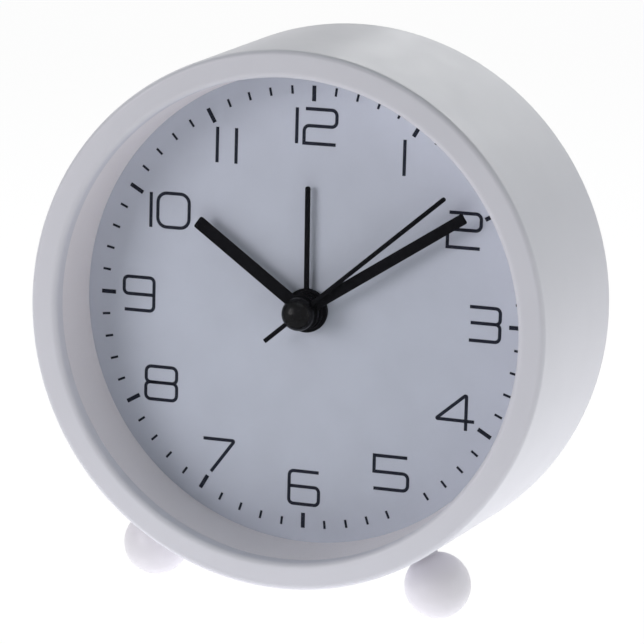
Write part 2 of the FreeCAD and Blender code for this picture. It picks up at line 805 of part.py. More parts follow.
def make_alarm_pinion():
    """Pinion that turns the alarm wheel, on the shaft of the alarm knob."""
    body = new_body("alarm_setting_pinion")
    cylinder(body, "setting_shaft_radius", f"{ALARM_LEVEL} - pinion_overhang", f"{KNOB_FRONT} + knob_height / 2")
    phase = mesh_phase(size("alarm_setting_angle"), 0, size("alarm_wheel_teeth"), size("alarm_pinion_teeth"))
    pinion(body, ALARM_LEVEL, "alarm_pinion_teeth", ALARM_MODULE, phase)
    x, z = polar("setting_distance", "alarm_setting_angle")
    place(body, x, 0, z)


def make_centre_wheel():
    """Wheel that turns once an hour, with a friction fit on the minute tube."""
    body = new_body("centre_wheel")
    phase = mesh_phase(size("third_angle") + 180, 0, size("third_pinion_teeth"), size("centre_wheel_teeth"))
    wheel(body, CENTRE_LEVEL, "centre_wheel_teeth", CENTRE_MODULE, phase)
    bore(body, "minute_tube_radius + running_gap", CENTRE_LEVEL, f"{CENTRE_LEVEL} + wheel_thick")


def make_third_wheel():
    """Wheel between the seconds and centre wheels."""
    body = new_body("third_wheel")
    cylinder(body, "arbor_radius", TRAIN_PLATE, BRIDGE_BACK)
    phase = mesh_phase(size("third_angle"), 0, size("seconds_pinion_teeth"), size("third_wheel_teeth"))
    wheel(body, THIRD_LEVEL, "third_wheel_teeth", THIRD_MODULE, phase)
    pinion(body, CENTRE_LEVEL, "third_pinion_teeth", CENTRE_MODULE)
    x, z = polar("third_distance", "third_angle")
    place(body, x, 0, z)


def make_seconds_wheel():
    """Wheel that turns once a minute, with the arbor that carries the second hand."""
    body = new_body("seconds_wheel")
    cylinder(body, "seconds_arbor_radius", "dial_depth - second_hand_rise - hand_thick - cap_height / 2",
             BRIDGE_BACK)
    pinion(body, THIRD_LEVEL, "seconds_pinion_teeth", THIRD_MODULE)
    wheel(body, SECONDS_LEVEL, "seconds_wheel_teeth", STEP_MODULE)


def make_step_wheel():
    """Wheel between the rotor and the seconds wheel."""
    body = new_body("intermediate_wheel")
    cylinder(body, "arbor_radius", TRAIN_PLATE, BRIDGE_BACK)
    phase = mesh_phase(size("step_angle"), 0, size("seconds_wheel_teeth"), size("step_pinion_teeth"))
    pinion(body, SECONDS_LEVEL, "step_pinion_teeth", STEP_MODULE, phase)
    wheel(body, STEP_LEVEL, "step_wheel_teeth", STEP_MODULE)
    x, z = polar("step_distance", "step_angle")
    place(body, x, 0, z)


def rotor_place():
    """Place of the rotor's axis, as X and Z."""
    teeth = size("seconds_wheel_teeth") + size("step_pinion_teeth")
    module = 2 * size("step_distance") / teeth
    reach = size("step_distance") + module * (size("step_wheel_teeth") + size("rotor_pinion_teeth")) / 2
    turn = math.radians(size("step_angle"))
    return reach * math.cos(turn), reach * math.sin(turn)


def make_rotor():
    """Magnet of the step motor, with its pinion."""
    body = new_body("rotor")
    cylinder(body, "arbor_radius", TRAIN_PLATE, BRIDGE_BACK)
    cylinder(body, "magnet_radius", f"{STEP_LEVEL} - wheel_gap - magnet_thick", f"{STEP_LEVEL} - wheel_gap")
    phase = mesh_phase(size("step_angle"), 0, size("step_wheel_teeth"), size("rotor_pinion_teeth"))
    pinion(body, STEP_LEVEL, "rotor_pinion_teeth", STEP_MODULE, phase)
    x, z = rotor_place()
    place(body, x, 0, z)


# Hands

def make_hand(kind, tube, tail="0"):
    """Flat bar hand on a round hub, drawn pointing up and then turned to its time."""
    body = new_body(f"{kind}_hand")
    front = f"(dial_depth - {kind}_hand_rise - hand_thick)"
    blade = sketch_at(body, front)
    half = f"{kind}_hand_width / 2"
    rectangle(blade, f"-{half}", half, tail, f"{kind}_hand_length")
    pad(body, blade, "hand_thick")
    tip = size(f"{kind}_hand_length") - 0.01
    end_round = f"{kind}_hand_width * {0.42 if kind in ('alarm', 'second') else 0.16}"
    soften(body, end_round, lambda shape: straight_edges(shape, lambda spot: spot.z > tip))
    if kind == "second":
        hub_front, hub_back = front, f"({front} + hand_thick + hub_thick / 2)"
    else:
        hub_front, hub_back = hand_front(kind), f"({hand_front(kind)} + hub_thick + hand_thick)"
    cylinder(body, f"{kind}_hub_radius", hub_front, hub_back)
    bore(body, tube, hub_front, hub_back)
    place(body, turn=size("dial_turn") + size(f"{kind}_hand_turn"))


def make_second_cap():
    """Domed cap on the middle of the second hand."""
    body = new_body("second_hand_cap")
    back = "(dial_depth - second_hand_rise - hand_thick)"
    cylinder(body, "cap_radius", f"({back} - cap_height)", back)
    front = size("dial_depth") - size("second_hand_rise") - size("hand_thick") - size("cap_height")
    soften(body, "cap_round", lambda shape: ring_edges(shape, size("cap_radius"), front))
    bore(body, "seconds_arbor_radius", f"({back} - cap_height / 2)", back)


# Step motor, circuit and sound

def make_stator():
    """Soft iron plate, open on the left, with a round hole for the rotor."""
    body = new_body("stator")
    face = sketch_at(body, THIRD_LEVEL)
    corners = [("stator_left", "stator_bottom"), ("stator_right", "stator_bottom")]
    corners += [("stator_right", "stator_arm_top"), ("stator_column_right", "stator_arm_top")]
    corners.append(("stator_column_right", "stator_top"))
    corners += [("stator_left", "stator_top"), ("stator_left", "stator_upper_arm")]
    corners += [("stator_column_left", "stator_upper_arm"), ("stator_column_left", "stator_arm_top")]
    corners.append(("stator_left", "stator_arm_top"))
    polygon(face, corners)
    pad(body, face, "stator_thick")
    hole = sketch_at(body, THIRD_LEVEL)
    reach = f"(step_distance + {ROTOR_DISTANCE})"
    circle(hole, "stator_hole_radius", f"{reach} * cos(step_angle)", f"{reach} * sin(step_angle)")
    pocket(body, hole, "stator_thick")


CORE_MIDDLE = "(stator_left + core_offset + core_width / 2)"


def make_coil_core():
    """Iron strip through the coil, behind the stator's two ends."""
    body = new_body("coil_core")
    face = sketch_at(body, f"{THIRD_LEVEL} + stator_thick")
    rectangle(face, "stator_left + core_offset", "stator_left + core_offset + core_width",
              "stator_bottom", "stator_top")
    pad(body, face, "stator_thick")


def place_on_core(body):
    """Stand a piece that was drawn about Y upright on the coil core's middle line."""
    depth = size("dial_depth") + size("dial_thick") + size("housing_wall") + size("wheel_gap")
    depth += 5 * size("level_step") + 1.5 * size("stator_thick")
    x = size("stator_left") + size("core_offset") + size("core_width") / 2
    z = (size("stator_arm_top") + size("stator_upper_arm")) / 2
    place(body, x, depth, z, 90, (1, 0, 0))


COIL_HALF = "((stator_upper_arm - stator_arm_top) / 2 - seat_gap)"


def make_bobbin():
    """Spool that holds the winding, with a slot for the core."""
    body = new_body("coil_bobbin")
    inner = f"({COIL_HALF} - bobbin_flange_thick)"
    corners = [("0", f"-{COIL_HALF}"), ("bobbin_flange_radius", f"-{COIL_HALF}")]
    corners += [("bobbin_flange_radius", f"-{inner}"), ("bobbin_barrel_radius", f"-{inner}")]
    corners += [("bobbin_barrel_radius", inner), ("bobbin_flange_radius", inner)]
    corners += [("bobbin_flange_radius", COIL_HALF), ("0", COIL_HALF)]
    revolve(body, corners)
    slot = sketch_at(body, f"-{COIL_HALF}")
    rectangle(slot, "-core_width / 2", "core_width / 2", "-stator_thick / 2", "stator_thick / 2")
    pocket(body, slot, f"2 * {COIL_HALF}")
    place_on_core(body)


def make_winding():
    """Copper winding between the spool's flanges."""
    body = new_body("coil_winding")
    inner = f"({COIL_HALF} - bobbin_flange_thick)"
    corners = [("bobbin_barrel_radius", f"-{inner}"), ("winding_radius", f"-{inner}")]
    corners += [("winding_radius", inner), ("bobbin_barrel_radius", inner)]
    revolve(body, corners)
    place_on_core(body)


BOARD_FRONT = f"({PLATE_BACK} + board_rise)"
BOARD_BACK = f"({BOARD_FRONT} + board_thick)"


def make_board():
    """Circuit board above the train, with its sealed chip."""
    body = new_body("circuit_board")
    face = sketch_at(body, BOARD_FRONT)
    rectangle(face, "-board_half_width", "board_half_width", "board_bottom", "board_top")
    pad(body, face, "board_thick")
    chip = sketch_at(body, BOARD_BACK)
    circle(chip, "chip_radius", "-board_half_width / 2", "(board_bottom + board_top) / 2")
    pad(body, chip, "chip_height")


def make_crystal():
    """Quartz crystal in its can, lying on the board."""
    body = new_body("quartz_crystal")
    can = sketch_on(body, "YZ_Plane", "board_half_width / 2")
    circle(can, "crystal_radius", f"{BOARD_BACK} + crystal_radius", "(board_bottom + board_top) / 2")
    pad(body, can, "crystal_length", False)


def make_buzzer():
    """Round buzzer on the train plate, with its sound port."""
    body = new_body("buzzer")
    can = sketch_at(body, PLATE_BACK)
    circle(can, "buzzer_radius", "buzzer_side", "buzzer_up")
    pad(body, can, "buzzer_height")
    port = sketch_at(body, f"{PLATE_BACK} + buzzer_height / 2")
    circle(port, "buzzer_port_radius", "buzzer_side", "buzzer_up")
    pocket(body, port, "buzzer_height / 2")


# Battery and contacts

BATTERY_MIDDLE = f"({COVER_FRONT} - battery_door_gap - battery_radius)"


def make_battery():
    """Single cell, lying across the clock, with its nub to the right."""
    body = new_body("battery")
    can = sketch_on(body, "YZ_Plane", "-battery_half_length")
    circle(can, "battery_radius", BATTERY_MIDDLE, "battery_up")
    pad(body, can, "2 * battery_half_length", False)
    nub = sketch_on(body, "YZ_Plane", "battery_half_length")
    circle(nub, "battery_nub_radius", BATTERY_MIDDLE, "battery_up")
    pad(body, nub, "battery_nub_length", False)


def make_contact(name, side, touch):
    """Bent spring strip between the battery's end and the chamber wall."""
    body = new_body(name)
    wall = "(housing_half_width - housing_wall)"
    strip = sketch_on(body, "XY_Plane", "battery_up - contact_half_height")
    spread = "battery_radius / 2"
    outline = [(wall, f"-{spread} - 2"), (wall, f"{spread} + 2"), (f"{wall} - contact_thick", f"{spread} + 2")]
    outline += [(f"{wall} - contact_thick", spread), (touch, "contact_thick * 2"), (touch, "-contact_thick * 2")]
    outline += [(f"{wall} - contact_thick", f"-{spread}"), (f"{wall} - contact_thick", f"-{spread} - 2")]
    polygon(strip, [(f"{side}({x})", f"{BATTERY_MIDDLE} + {y}") for x, y in outline])
    pad(body, strip, "2 * contact_half_height", False)


# Back cover and what goes through it

def make_cover():
    """Back cover, set into the case, with openings for the door, knobs, slider and sound."""
    body = new_body("back_cover")
    cylinder(body, "case_bore_radius - seat_gap", COVER_FRONT, COVER_BACK)
    openings = sketch_at(body, COVER_FRONT)
    rectangle(openings, "-door_half_width", "door_half_width", "door_bottom", "door_top")
    for angle in ("time_setting_angle", "alarm_setting_angle"):
        circle(openings, "setting_shaft_radius + door_gap",
               f"setting_distance * cos({angle})", f"setting_distance * sin({angle})")
    slider_slot(openings)
    grille(openings)
    pocket(body, openings, "cover_thick")
    hole = sketch_at(body, COVER_FRONT)
    circle(hole, "screw_radius + seat_gap", "0", "frame_boss_place")
    repeat_around(body, pocket(body, hole, "cover_thick"), "frame_boss_count")
    seat = sketch_at(body, f"{COVER_BACK} - screw_head_height")
    circle(seat, "screw_head_radius + seat_gap", "0", "frame_boss_place")
    repeat_around(body, pocket(body, seat, "screw_head_height"), "frame_boss_count")


def make_door():
    """Battery door with a few ribs for the finger."""
    body = new_body("battery_door")
    face = sketch_at(body, COVER_FRONT)
    rectangle(face, "door_gap - door_half_width", "door_half_width - door_gap", "door_bottom + door_gap",
              "door_top - door_gap")
    pad(body, face, "cover_thick")
    rib = sketch_at(body, COVER_BACK)
    low = "(door_top - door_gap - (door_rib_count + 1) * door_rib_step)"
    rectangle(rib, "-door_rib_half_width", "door_rib_half_width", low, f"{low} + door_rib_height")
    repeat_along(body, pad(body, rib, "door_rib_height"), "Z_Axis", "door_rib_step", "door_rib_count")


def make_knob(name, angle):
    """Grooved setting knob on one of the shafts."""
    body = new_body(name)
    back = f"({KNOB_FRONT} + knob_height)"
    cylinder(body, "knob_radius", KNOB_FRONT, back)
    end = size("case_depth") - size("cover_inset") + size("knob_gap") + size("knob_height")
    soften(body, "knob_edge_round", lambda shape: ring_edges(shape, size("knob_radius"), end))
    groove = sketch_at(body, f"{KNOB_FRONT} + knob_height / 5")
    circle(groove, "knob_groove_radius", "knob_radius + knob_groove_radius / 3")
    repeat_around(body, pocket(body, groove, "knob_height"), "knob_grooves")
    bore(body, "setting_shaft_radius", KNOB_FRONT, f"({KNOB_FRONT} + knob_height / 2)")
    x, z = polar("setting_distance", angle)
    place(body, x, 0, z)


def make_slider():
    """Alarm on and off slider: a cap outside, a stem, and a foot that keeps it in."""
    body = new_body("alarm_switch")
    stem_front = f"({CHAMBER_BACK} - slider_cap_height)"
    cap_front = f"({COVER_BACK} + slider_gap)"
    stem = sketch_at(body, stem_front)
    rectangle(stem, "-slider_stem_half_width", "slider_stem_half_width", "-slider_stem_half_height",
              "slider_stem_half_height")
    pad(body, stem, f"{cap_front} - {stem_front}")
    for front, height in ((cap_front, "slider_cap_height"), (stem_front, "slider_cap_height / 2")):
        block = sketch_at(body, front)
        rectangle(block, "-slider_cap_half_width", "slider_cap_half_width", "-slider_cap_half_height",
                  "slider_cap_half_height")
        pad(body, block, height)
    place(body, size("slider_rest"), 0, size("slider_up"))


# Screws

def screw(body, head_back, x, z, count=None):
    """Cheese head screw with a straight slot, its head ending at this depth."""
    head_front = f"({head_back} - screw_head_height)"
    head = sketch_at(body, head_front)
    circle(head, "screw_head_radius", x, z)
    head_pad = pad(body, head, "screw_head_height")
    slot = sketch_at(body, f"{head_back} - screw_slot_depth")
    rectangle(slot, f"{x} - screw_head_radius * 0.7", f"{x} + screw_head_radius * 0.7",
              f"{z} - screw_slot_width / 2", f"{z} + screw_slot_width / 2")
    slot_cut = pocket(body, slot, "screw_slot_depth")
    shank = sketch_at(body, f"{head_front} - screw_grip + wheel_thick")
    circle(shank, "screw_radius", x, z)
    shank_pad = pad(body, shank, "screw_grip - wheel_thick")
    if count:
        pattern = body.newObject("PartDesign::PolarPattern", "Around")
        pattern.Originals = [head_pad, slot_cut, shank_pad]
        pattern.Axis = (origin_feature(body, "Y_Axis"), [""])
        pattern.Angle = 360
        pattern.setExpression("Occurrences", bound(count))
        body.Tip = pattern


def make_screws():
    """The three groups of screws, each group one piece."""
    cover = new_body("back_cover_screws")
    screw(cover, COVER_BACK, "0", "frame_boss_place", "frame_boss_count")
    plate = new_body("train_plate_screws")
    for x, z in post_places():
        screw(plate, f"({PLATE_BACK} + screw_head_height)", x, z)
    bridge = new_body("bridge_screws")
    for x, z in pillar_places():
        screw(bridge, f"({BRIDGE_BACK} + screw_head_height)", x, z)


# Standing

def lean_angle():
    """Angle that lays the case's lower back edge on the plane under the two feet."""
    reach = size("foot_place_radius") * math.cos(math.radians(size("foot_angle")))
    edge_depth = size("case_depth") - size("back_edge_round")
    edge_radius = size("case_back_radius") - size("back_edge_round")
    run = edge_depth - size("foot_depth")
    rise = edge_radius - reach
    drop = size("foot_radius") - size("back_edge_round")
    return math.degrees(math.asin(drop / math.hypot(run, rise)) - math.atan2(rise, run))


def stand_up():
    """Lean the clock back and move its origin to the middle of its bottom."""
    turn = FreeCAD.Rotation(FreeCAD.Vector(1, 0, 0), -lean_angle())
    lean = FreeCAD.Placement(FreeCAD.Vector(), turn)
    for piece in pieces:
        piece.Placement = lean.multiply(piece.Placement)
    doc.recompute()
    outside = ("case_shell", "left_foot", "right_foot", "time_set_knob", "alarm_set_knob")
    boxes = [piece.Shape.optimalBoundingBox(False) for piece in pieces if piece.Label in outside]
    middle = (min(box.YMin for box in boxes) + max(box.YMax for box in boxes)) / 2
    shift = FreeCAD.Placement(FreeCAD.Vector(0, -middle, -min(box.ZMin for box in boxes)), FreeCAD.Rotation())
    for piece in pieces:
        piece.Placement = shift.multiply(piece.Placement)
    doc.recompute()
    print(f"lean {lean_angle():.4f} degrees, shift {shift.Base.y:.4f} back, {shift.Base.z:.4f} up")


def check_and_write():
    """Check every object and write each piece to its own file."""
    for item in doc.Objects:
        if "Invalid" in item.State or "Error" in item.State:
            raise RuntimeError(f"{item.Name} failed: {item.State}")
    os.makedirs("parts", exist_ok=True)
    for piece in pieces:
        shape = piece.Shape
        if shape.isNull() or not shape.isValid() or not shape.Solids:
            raise RuntimeError(f"{piece.Label} has no valid solid")
        shape.exportStep(f"parts/{piece.Label}.step")
        print(f"{piece.Label}: {len(shape.Solids)} solid(s), {shape.Volume:.1f} mm3")


def main():
    """Build the clock piece by piece."""
    fill_sheet()
    make_case()
    make_lens()
    make_reveal()
    make_dial()
    make_frame()
    make_foot("left_foot", -1)
    make_foot("right_foot", 1)
    make_front_housing()
    make_rear_housing()
    make_train_plate()
    make_bridge()
    make_alarm_wheel()
    make_hour_wheel()
    make_minute_pinion()
    make_motion_wheel()
    make_alarm_pinion()
    make_centre_wheel()
    make_third_wheel()
    make_seconds_wheel()
    make_step_wheel()
    make_rotor()
    make_hand("alarm", "alarm_tube_radius")
    make_hand("hour", "hour_tube_radius")
    make_hand("minute", "minute_tube_radius")
    make_hand("second", "seconds_arbor_radius", "-second_hand_tail")
    make_second_cap()
    make_stator()
    make_coil_core()
    make_bobbin()
    make_winding()
    make_board()
    make_crystal()
    make_buzzer()
    make_battery()
    make_contact("plus_contact", "", "battery_half_length + battery_nub_length")
    make_contact("minus_contact", "-", "battery_half_length")
    make_cover()
    make_door()
    make_knob("time_set_knob", "time_setting_angle")
    make_knob("alarm_set_knob", "alarm_setting_angle")
    make_slider()
    make_screws()
    doc.recompute()
    stand_up()
    check_and_write()


main()
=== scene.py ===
"""Looks of a round desk alarm clock on two ball feet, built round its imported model.

Lengths are in millimetres in the clock's own frame, unless a name says metres: x to the right as seen from
the front, depth backwards from the front of the rim, and z up the case. ClockFrame turns them into the
model's metres. The studio's places and distances are in metres, and only its camera's lens and sensor in
millimetres. Angles are in degrees. A turn is clockwise as seen from the front.
"""
import json
import logging
from collections.abc import Sequence
from dataclasses import dataclass, field
from enum import Enum

import bpy
import numpy as np
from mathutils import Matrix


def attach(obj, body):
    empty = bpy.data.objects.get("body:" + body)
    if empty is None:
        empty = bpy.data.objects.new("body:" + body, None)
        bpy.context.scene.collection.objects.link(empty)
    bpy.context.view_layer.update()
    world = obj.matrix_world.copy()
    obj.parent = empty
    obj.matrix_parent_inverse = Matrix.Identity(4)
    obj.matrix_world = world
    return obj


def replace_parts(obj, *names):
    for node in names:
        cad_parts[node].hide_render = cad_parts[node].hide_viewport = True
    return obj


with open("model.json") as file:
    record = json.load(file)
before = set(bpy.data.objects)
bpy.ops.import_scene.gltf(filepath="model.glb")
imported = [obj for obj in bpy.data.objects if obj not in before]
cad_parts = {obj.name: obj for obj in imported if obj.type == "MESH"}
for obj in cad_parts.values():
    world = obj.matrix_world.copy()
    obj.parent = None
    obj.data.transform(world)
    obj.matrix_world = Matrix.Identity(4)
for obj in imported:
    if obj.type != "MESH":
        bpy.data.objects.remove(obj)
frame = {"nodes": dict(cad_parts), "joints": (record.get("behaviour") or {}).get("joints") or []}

log = logging.getLogger("alarm_clock")

MM = 0.001
GLYPH_STEPS = 6
Colour = tuple[float, float, float]
Place = tuple[float, float, float]
Sockets = dict[str | int, object]


class Slot(Enum):
    """The record's material slots."""

    CASE = "case_white"
    REVEAL = "reveal_white"
    LENS = "lens_clear"
    DIAL = "dial_grey"
    INNER = "inner_plastic"
    FOOT = "foot_white"
    HOUSING = "housing_plastic"
    WHEEL = "wheel_plastic"
    MAGNET = "magnet_grey"
    HAND = "hand_black"
    CAP = "cap_black"
    IRON = "soft_iron"
    BOBBIN = "bobbin_plastic"
    WIRE = "copper_wire"
    BOARD = "board_green"
    PLATED = "plated_steel"
    BUZZER = "buzzer_black"
    JACKET = "battery_jacket"
    COVER = "cover_white"
    DOOR = "door_white"
    KNOB = "knob_white"
    SWITCH = "switch_grey"
    SCREW = "screw_steel"


# Shader building

class Value:
    """One output socket of a material, whose arithmetic adds Math nodes."""

    def __init__(self, shader: "Shader", socket: bpy.types.NodeSocket) -> None:
        """Keep the socket and the shader that it belongs to."""
        self.shader = shader
        self.socket = socket

    def _math(self, operation: str, first: "Value | float", second: "Value | float") -> "Value":
        """Add one Math node."""
        return self.shader.node("ShaderNodeMath", {"operation": operation}, {0: first, 1: second})

    def __add__(self, other: "Value | float") -> "Value":
        """Sum."""
        return self._math("ADD", self, other)

    def __radd__(self, other: float) -> "Value":
        """Sum with a number on the left."""
        return self._math("ADD", other, self)

    def __sub__(self, other: "Value | float") -> "Value":
        """Difference."""
        return self._math("SUBTRACT", self, other)

    def __rsub__(self, other: float) -> "Value":
        """Difference from a number on the left."""
        return self._math("SUBTRACT", other, self)

    def __mul__(self, other: "Value | float") -> "Value":
        """Product."""
        return self._math("MULTIPLY", self, other)

    def __rmul__(self, other: float) -> "Value":
        """Product with a number on the left."""
        return self._math("MULTIPLY", other, self)

    def around(self, middle: float, spread: float) -> "Value":
        """This value, from 0 to 1, laid out over a spread about a middle."""
        return self * spread + (middle - spread / 2)

    def step(self, low: float, high: float) -> "Value":
        """Smooth step that goes from 0 at low to 1 at high."""
        sockets = {"Value": self, "From Min": low, "From Max": high}
        return self.shader.node("ShaderNodeMapRange", {"interpolation_type": "SMOOTHSTEP"}, sockets)


class Shader:
    """Node tree of one material, or of the surroundings."""

    def __init__(self, owner: bpy.types.Material | bpy.types.World, output: str) -> None:
        """Empty the owner's tree, but for an output.

        Args:
            owner: The material or world.
            output: The output node's type.
        """
        self.owner = owner
        self.owner.use_nodes = True
        self.tree = self.owner.node_tree
        self.tree.nodes.clear()
        self.output = self.tree.nodes.new(output)

    @classmethod
    def of_material(cls, name: str) -> "Shader":
        """Tree of a new material."""
        return cls(bpy.data.materials.new(name), "ShaderNodeOutputMaterial")

    def node(self, kind: str, settings: dict[str, object], sockets: Sockets, output: str | int = 0) -> Value:
        """Add a node.

        Args:
            kind: The node's type.
            settings: Properties, set before the sockets.
            sockets: A number, colour or Value for each input, by name or place.
            output: Which output to return.

        Returns:
            The chosen output.
        """
        made = self.tree.nodes.new(kind)
        for name, setting in settings.items():
            setattr(made, name, setting)
        for name, given in sockets.items():
            if isinstance(given, Value):
                self.tree.links.new(given.socket, made.inputs[name])
            else:
                made.inputs[name].default_value = given
        return Value(self, made.outputs[output])

    def place(self) -> Value:
        """Object coordinates, in metres."""
        return self.node("ShaderNodeTexCoord", {}, {}, "Object")

    def axes(self, place: Value) -> tuple[Value, Value, Value]:
        """Split coordinates into x, y and z."""
        return tuple(self.node("ShaderNodeSeparateXYZ", {}, {0: place}, axis) for axis in "XYZ")

    def noise(self, place: Value, size: float, detail: float = 2.0) -> Value:
        """Noise from 0 to 1, whose features are about size millimetres across."""
        sockets = {"Vector": place, "Scale": 1 / (size * MM), "Detail": detail}
        return self.node("ShaderNodeTexNoise", {}, sockets, "Fac")

    def stretched(self, place: Value, scale: Sequence[float]) -> Value:
        """Coordinates scaled along each axis."""
        return self.node("ShaderNodeMapping", {}, {"Vector": place, "Scale": tuple(scale)})

    def waves(self, place: Value, axis: str, scale: float, distortion: float, detail: float = 0.0) -> Value:
        """Bands from 0 to 1 across one axis.

        Args:
            place: Object coordinates.
            axis: The axis that the bands cross.
            scale: The wave texture's scale.
            distortion: How far the bands wander.
            detail: Detail of their wandering.

        Returns:
            The bands.
        """
        sockets = {"Vector": place, "Scale": scale, "Distortion": distortion, "Detail": detail}
        return self.node("ShaderNodeTexWave", {"bands_direction": axis}, sockets, "Fac")

    def shades(self, factor: Value, colour: Colour, low: float, high: float) -> Value:
        """Colour that goes from one shade of itself to another, given as shares lighter or darker."""
        return self.mix(factor, shaded(colour, low), shaded(colour, high))

    def mix(self, factor: Value, first: Colour | Value, second: Colour | Value) -> Value:
        """Colour that goes from first to second as factor goes from 0 to 1."""
        ends = [c if isinstance(c, Value) else (*c, 1.0) for c in (first, second)]
        return self.node("ShaderNodeMix", {"data_type": "RGBA"}, {0: factor, 6: ends[0], 7: ends[1]}, 2)

    def bump(self, height: Value, depth: float, edge: float = 0.0) -> Value:
        """Normal of a surface whose height, from 0 to 1, is depth millimetres.

        Args:
            height: The pattern.
            depth: Its depth in millimetres.
            edge: Radius in millimetres by which sharp edges look rounded.

        Returns:
            The normal.
        """
        sockets: Sockets = {"Height": height, "Distance": depth * MM}
        if edge:
            sockets["Normal"] = self.node("ShaderNodeBevel", {"samples": 4}, {"Radius": edge * MM}, "Normal")
        return self.node("ShaderNodeBump", {}, sockets, "Normal")

    def finish(self, shade: Value) -> bpy.types.Material | bpy.types.World:
        """Link the last shader to the output, and give back the owner."""
        self.tree.links.new(shade.socket, self.output.inputs["Surface"])
        return self.owner


def shaded(colour: Colour, share: float) -> Colour:
    """A colour made lighter or darker by a share."""
    return tuple(min(1.0, channel * (1 + share)) for channel in colour)


# Finishes

class Finish:
    """A finish, which makes its material on one Principled shader."""

    def sockets(self, shader: Shader, place: Value) -> Sockets:
        """Inputs of the shader.

        Args:
            shader: The material's nodes.
            place: Object coordinates.

        Returns:
            The shader's inputs.
        """
        raise NotImplementedError

    def material(self, name: str) -> bpy.types.Material:
        """Build the finish.

        Args:
            name: The material's name.

        Returns:
            The material.
        """
        shader = Shader.of_material(name)
        sockets = self.sockets(shader, shader.place())
        return shader.finish(shader.node("ShaderNodeBsdfPrincipled", {}, sockets))


@dataclass(frozen=True)
class Moulded(Finish):
    """Moulded plastic, with fine grain, a slow drift of tint, and uneven gloss."""

    colour: Colour
    roughness: float = 0.45
    grain: float = 0.3
    grain_depth: float = 0.004
    drift: float = 0.03
    edge: float = 0.0
    coat: float = 0.0
    cloud_size: float = 18.0
    patch_size: float = 5.0
    uneven: float = 0.12

    def sockets(self, shader: Shader, place: Value) -> Sockets:
        """Clouds of tint, patches of gloss, and grain as bump.

        Args:
            shader: The material's nodes.
            place: Object coordinates.

        Returns:
            The shader's inputs.
        """
        cloud = shader.noise(place, self.cloud_size, 3.0).step(0.3, 0.7)
        grain = shader.noise(place, self.grain, 3.0)
        return {"Base Color": shader.shades(cloud, self.colour, -self.drift, self.drift),
                "Roughness": shader.noise(place, self.patch_size).around(self.roughness, self.uneven),
                "Coat Weight": self.coat, "Coat Roughness": 0.25,
                "Normal": shader.bump(grain, self.grain_depth, self.edge)}


@dataclass(frozen=True)
class DialPaper(Finish):
    """Matt printed dial, with paper-fine tooth and a faint mottle."""

    colour: Colour
    roughness: float = 0.625
    mottle_size: float = 7.0
    tooth_size: float = 0.18

    def sockets(self, shader: Shader, place: Value) -> Sockets:
        """Mottled tint, and tooth as gloss and bump.

        Args:
            shader: The material's nodes.
            place: Object coordinates.

        Returns:
            The shader's inputs.
        """
        mottle = shader.noise(place, self.mottle_size, 4.0).step(0.25, 0.75)
        tooth = shader.noise(place, self.tooth_size)
        return {"Base Color": shader.shades(mottle, self.colour, -0.025, 0.02),
                "Roughness": tooth.around(self.roughness, 0.15), "Normal": shader.bump(tooth, 0.003)}


@dataclass(frozen=True)
class Ink(Finish):
    """Printed ink, a little uneven in tone."""

    colour: Colour
    roughness: float = 0.5
    patch_size: float = 0.5

    def sockets(self, shader: Shader, place: Value) -> Sockets:
        """Small patches of tint, gloss and thickness.

        Args:
            shader: The material's nodes.
            place: Object coordinates.

        Returns:
            The shader's inputs.
        """
        uneven = shader.noise(place, self.patch_size, 3.0)
        return {"Base Color": shader.shades(uneven, self.colour, 0.0, 0.5),
                "Roughness": uneven.around(self.roughness, 0.2), "Specular IOR Level": 0.1,
                "Normal": shader.bump(uneven, 0.002)}


@dataclass(frozen=True)
class MattPaint(Finish):
    """Matt black paint on thin metal, with a fine powdery texture."""

    colour: Colour
    roughness: float = 0.55
    powder_size: float = 0.12
    streak_size: float = 2.0

    def sockets(self, shader: Shader, place: Value) -> Sockets:
        """Streaks of tint, and powder as gloss and bump.

        Args:
            shader: The material's nodes.
            place: Object coordinates.

        Returns:
            The shader's inputs.
        """
        powder = shader.noise(place, self.powder_size, 3.0)
        streak = shader.noise(place, self.streak_size)
        return {"Base Color": shader.shades(streak, self.colour, 0.0, 0.6),
                "Roughness": powder.around(self.roughness, 0.2), "Specular IOR Level": 0.03,
                "Normal": shader.bump(powder, 0.004, 0.06)}


@dataclass(frozen=True)
class GlossBlack(Finish):
    """Glossy black plastic with a faint ripple, which mirrors little but the nearest lamp."""

    colour: Colour
    roughness: float = 0.2
    ripple_size: float = 1.2

    def sockets(self, shader: Shader, place: Value) -> Sockets:
        """Ripple as tint, gloss and bump.

        Args:
            shader: The material's nodes.
            place: Object coordinates.

        Returns:
            The shader's inputs.
        """
        ripple = shader.noise(place, self.ripple_size)
        return {"Base Color": shader.shades(ripple, self.colour, 0.0, 0.5),
                "Roughness": ripple.around(self.roughness, 0.08), "Specular IOR Level": 0.1,
                "Normal": shader.bump(ripple, 0.004)}


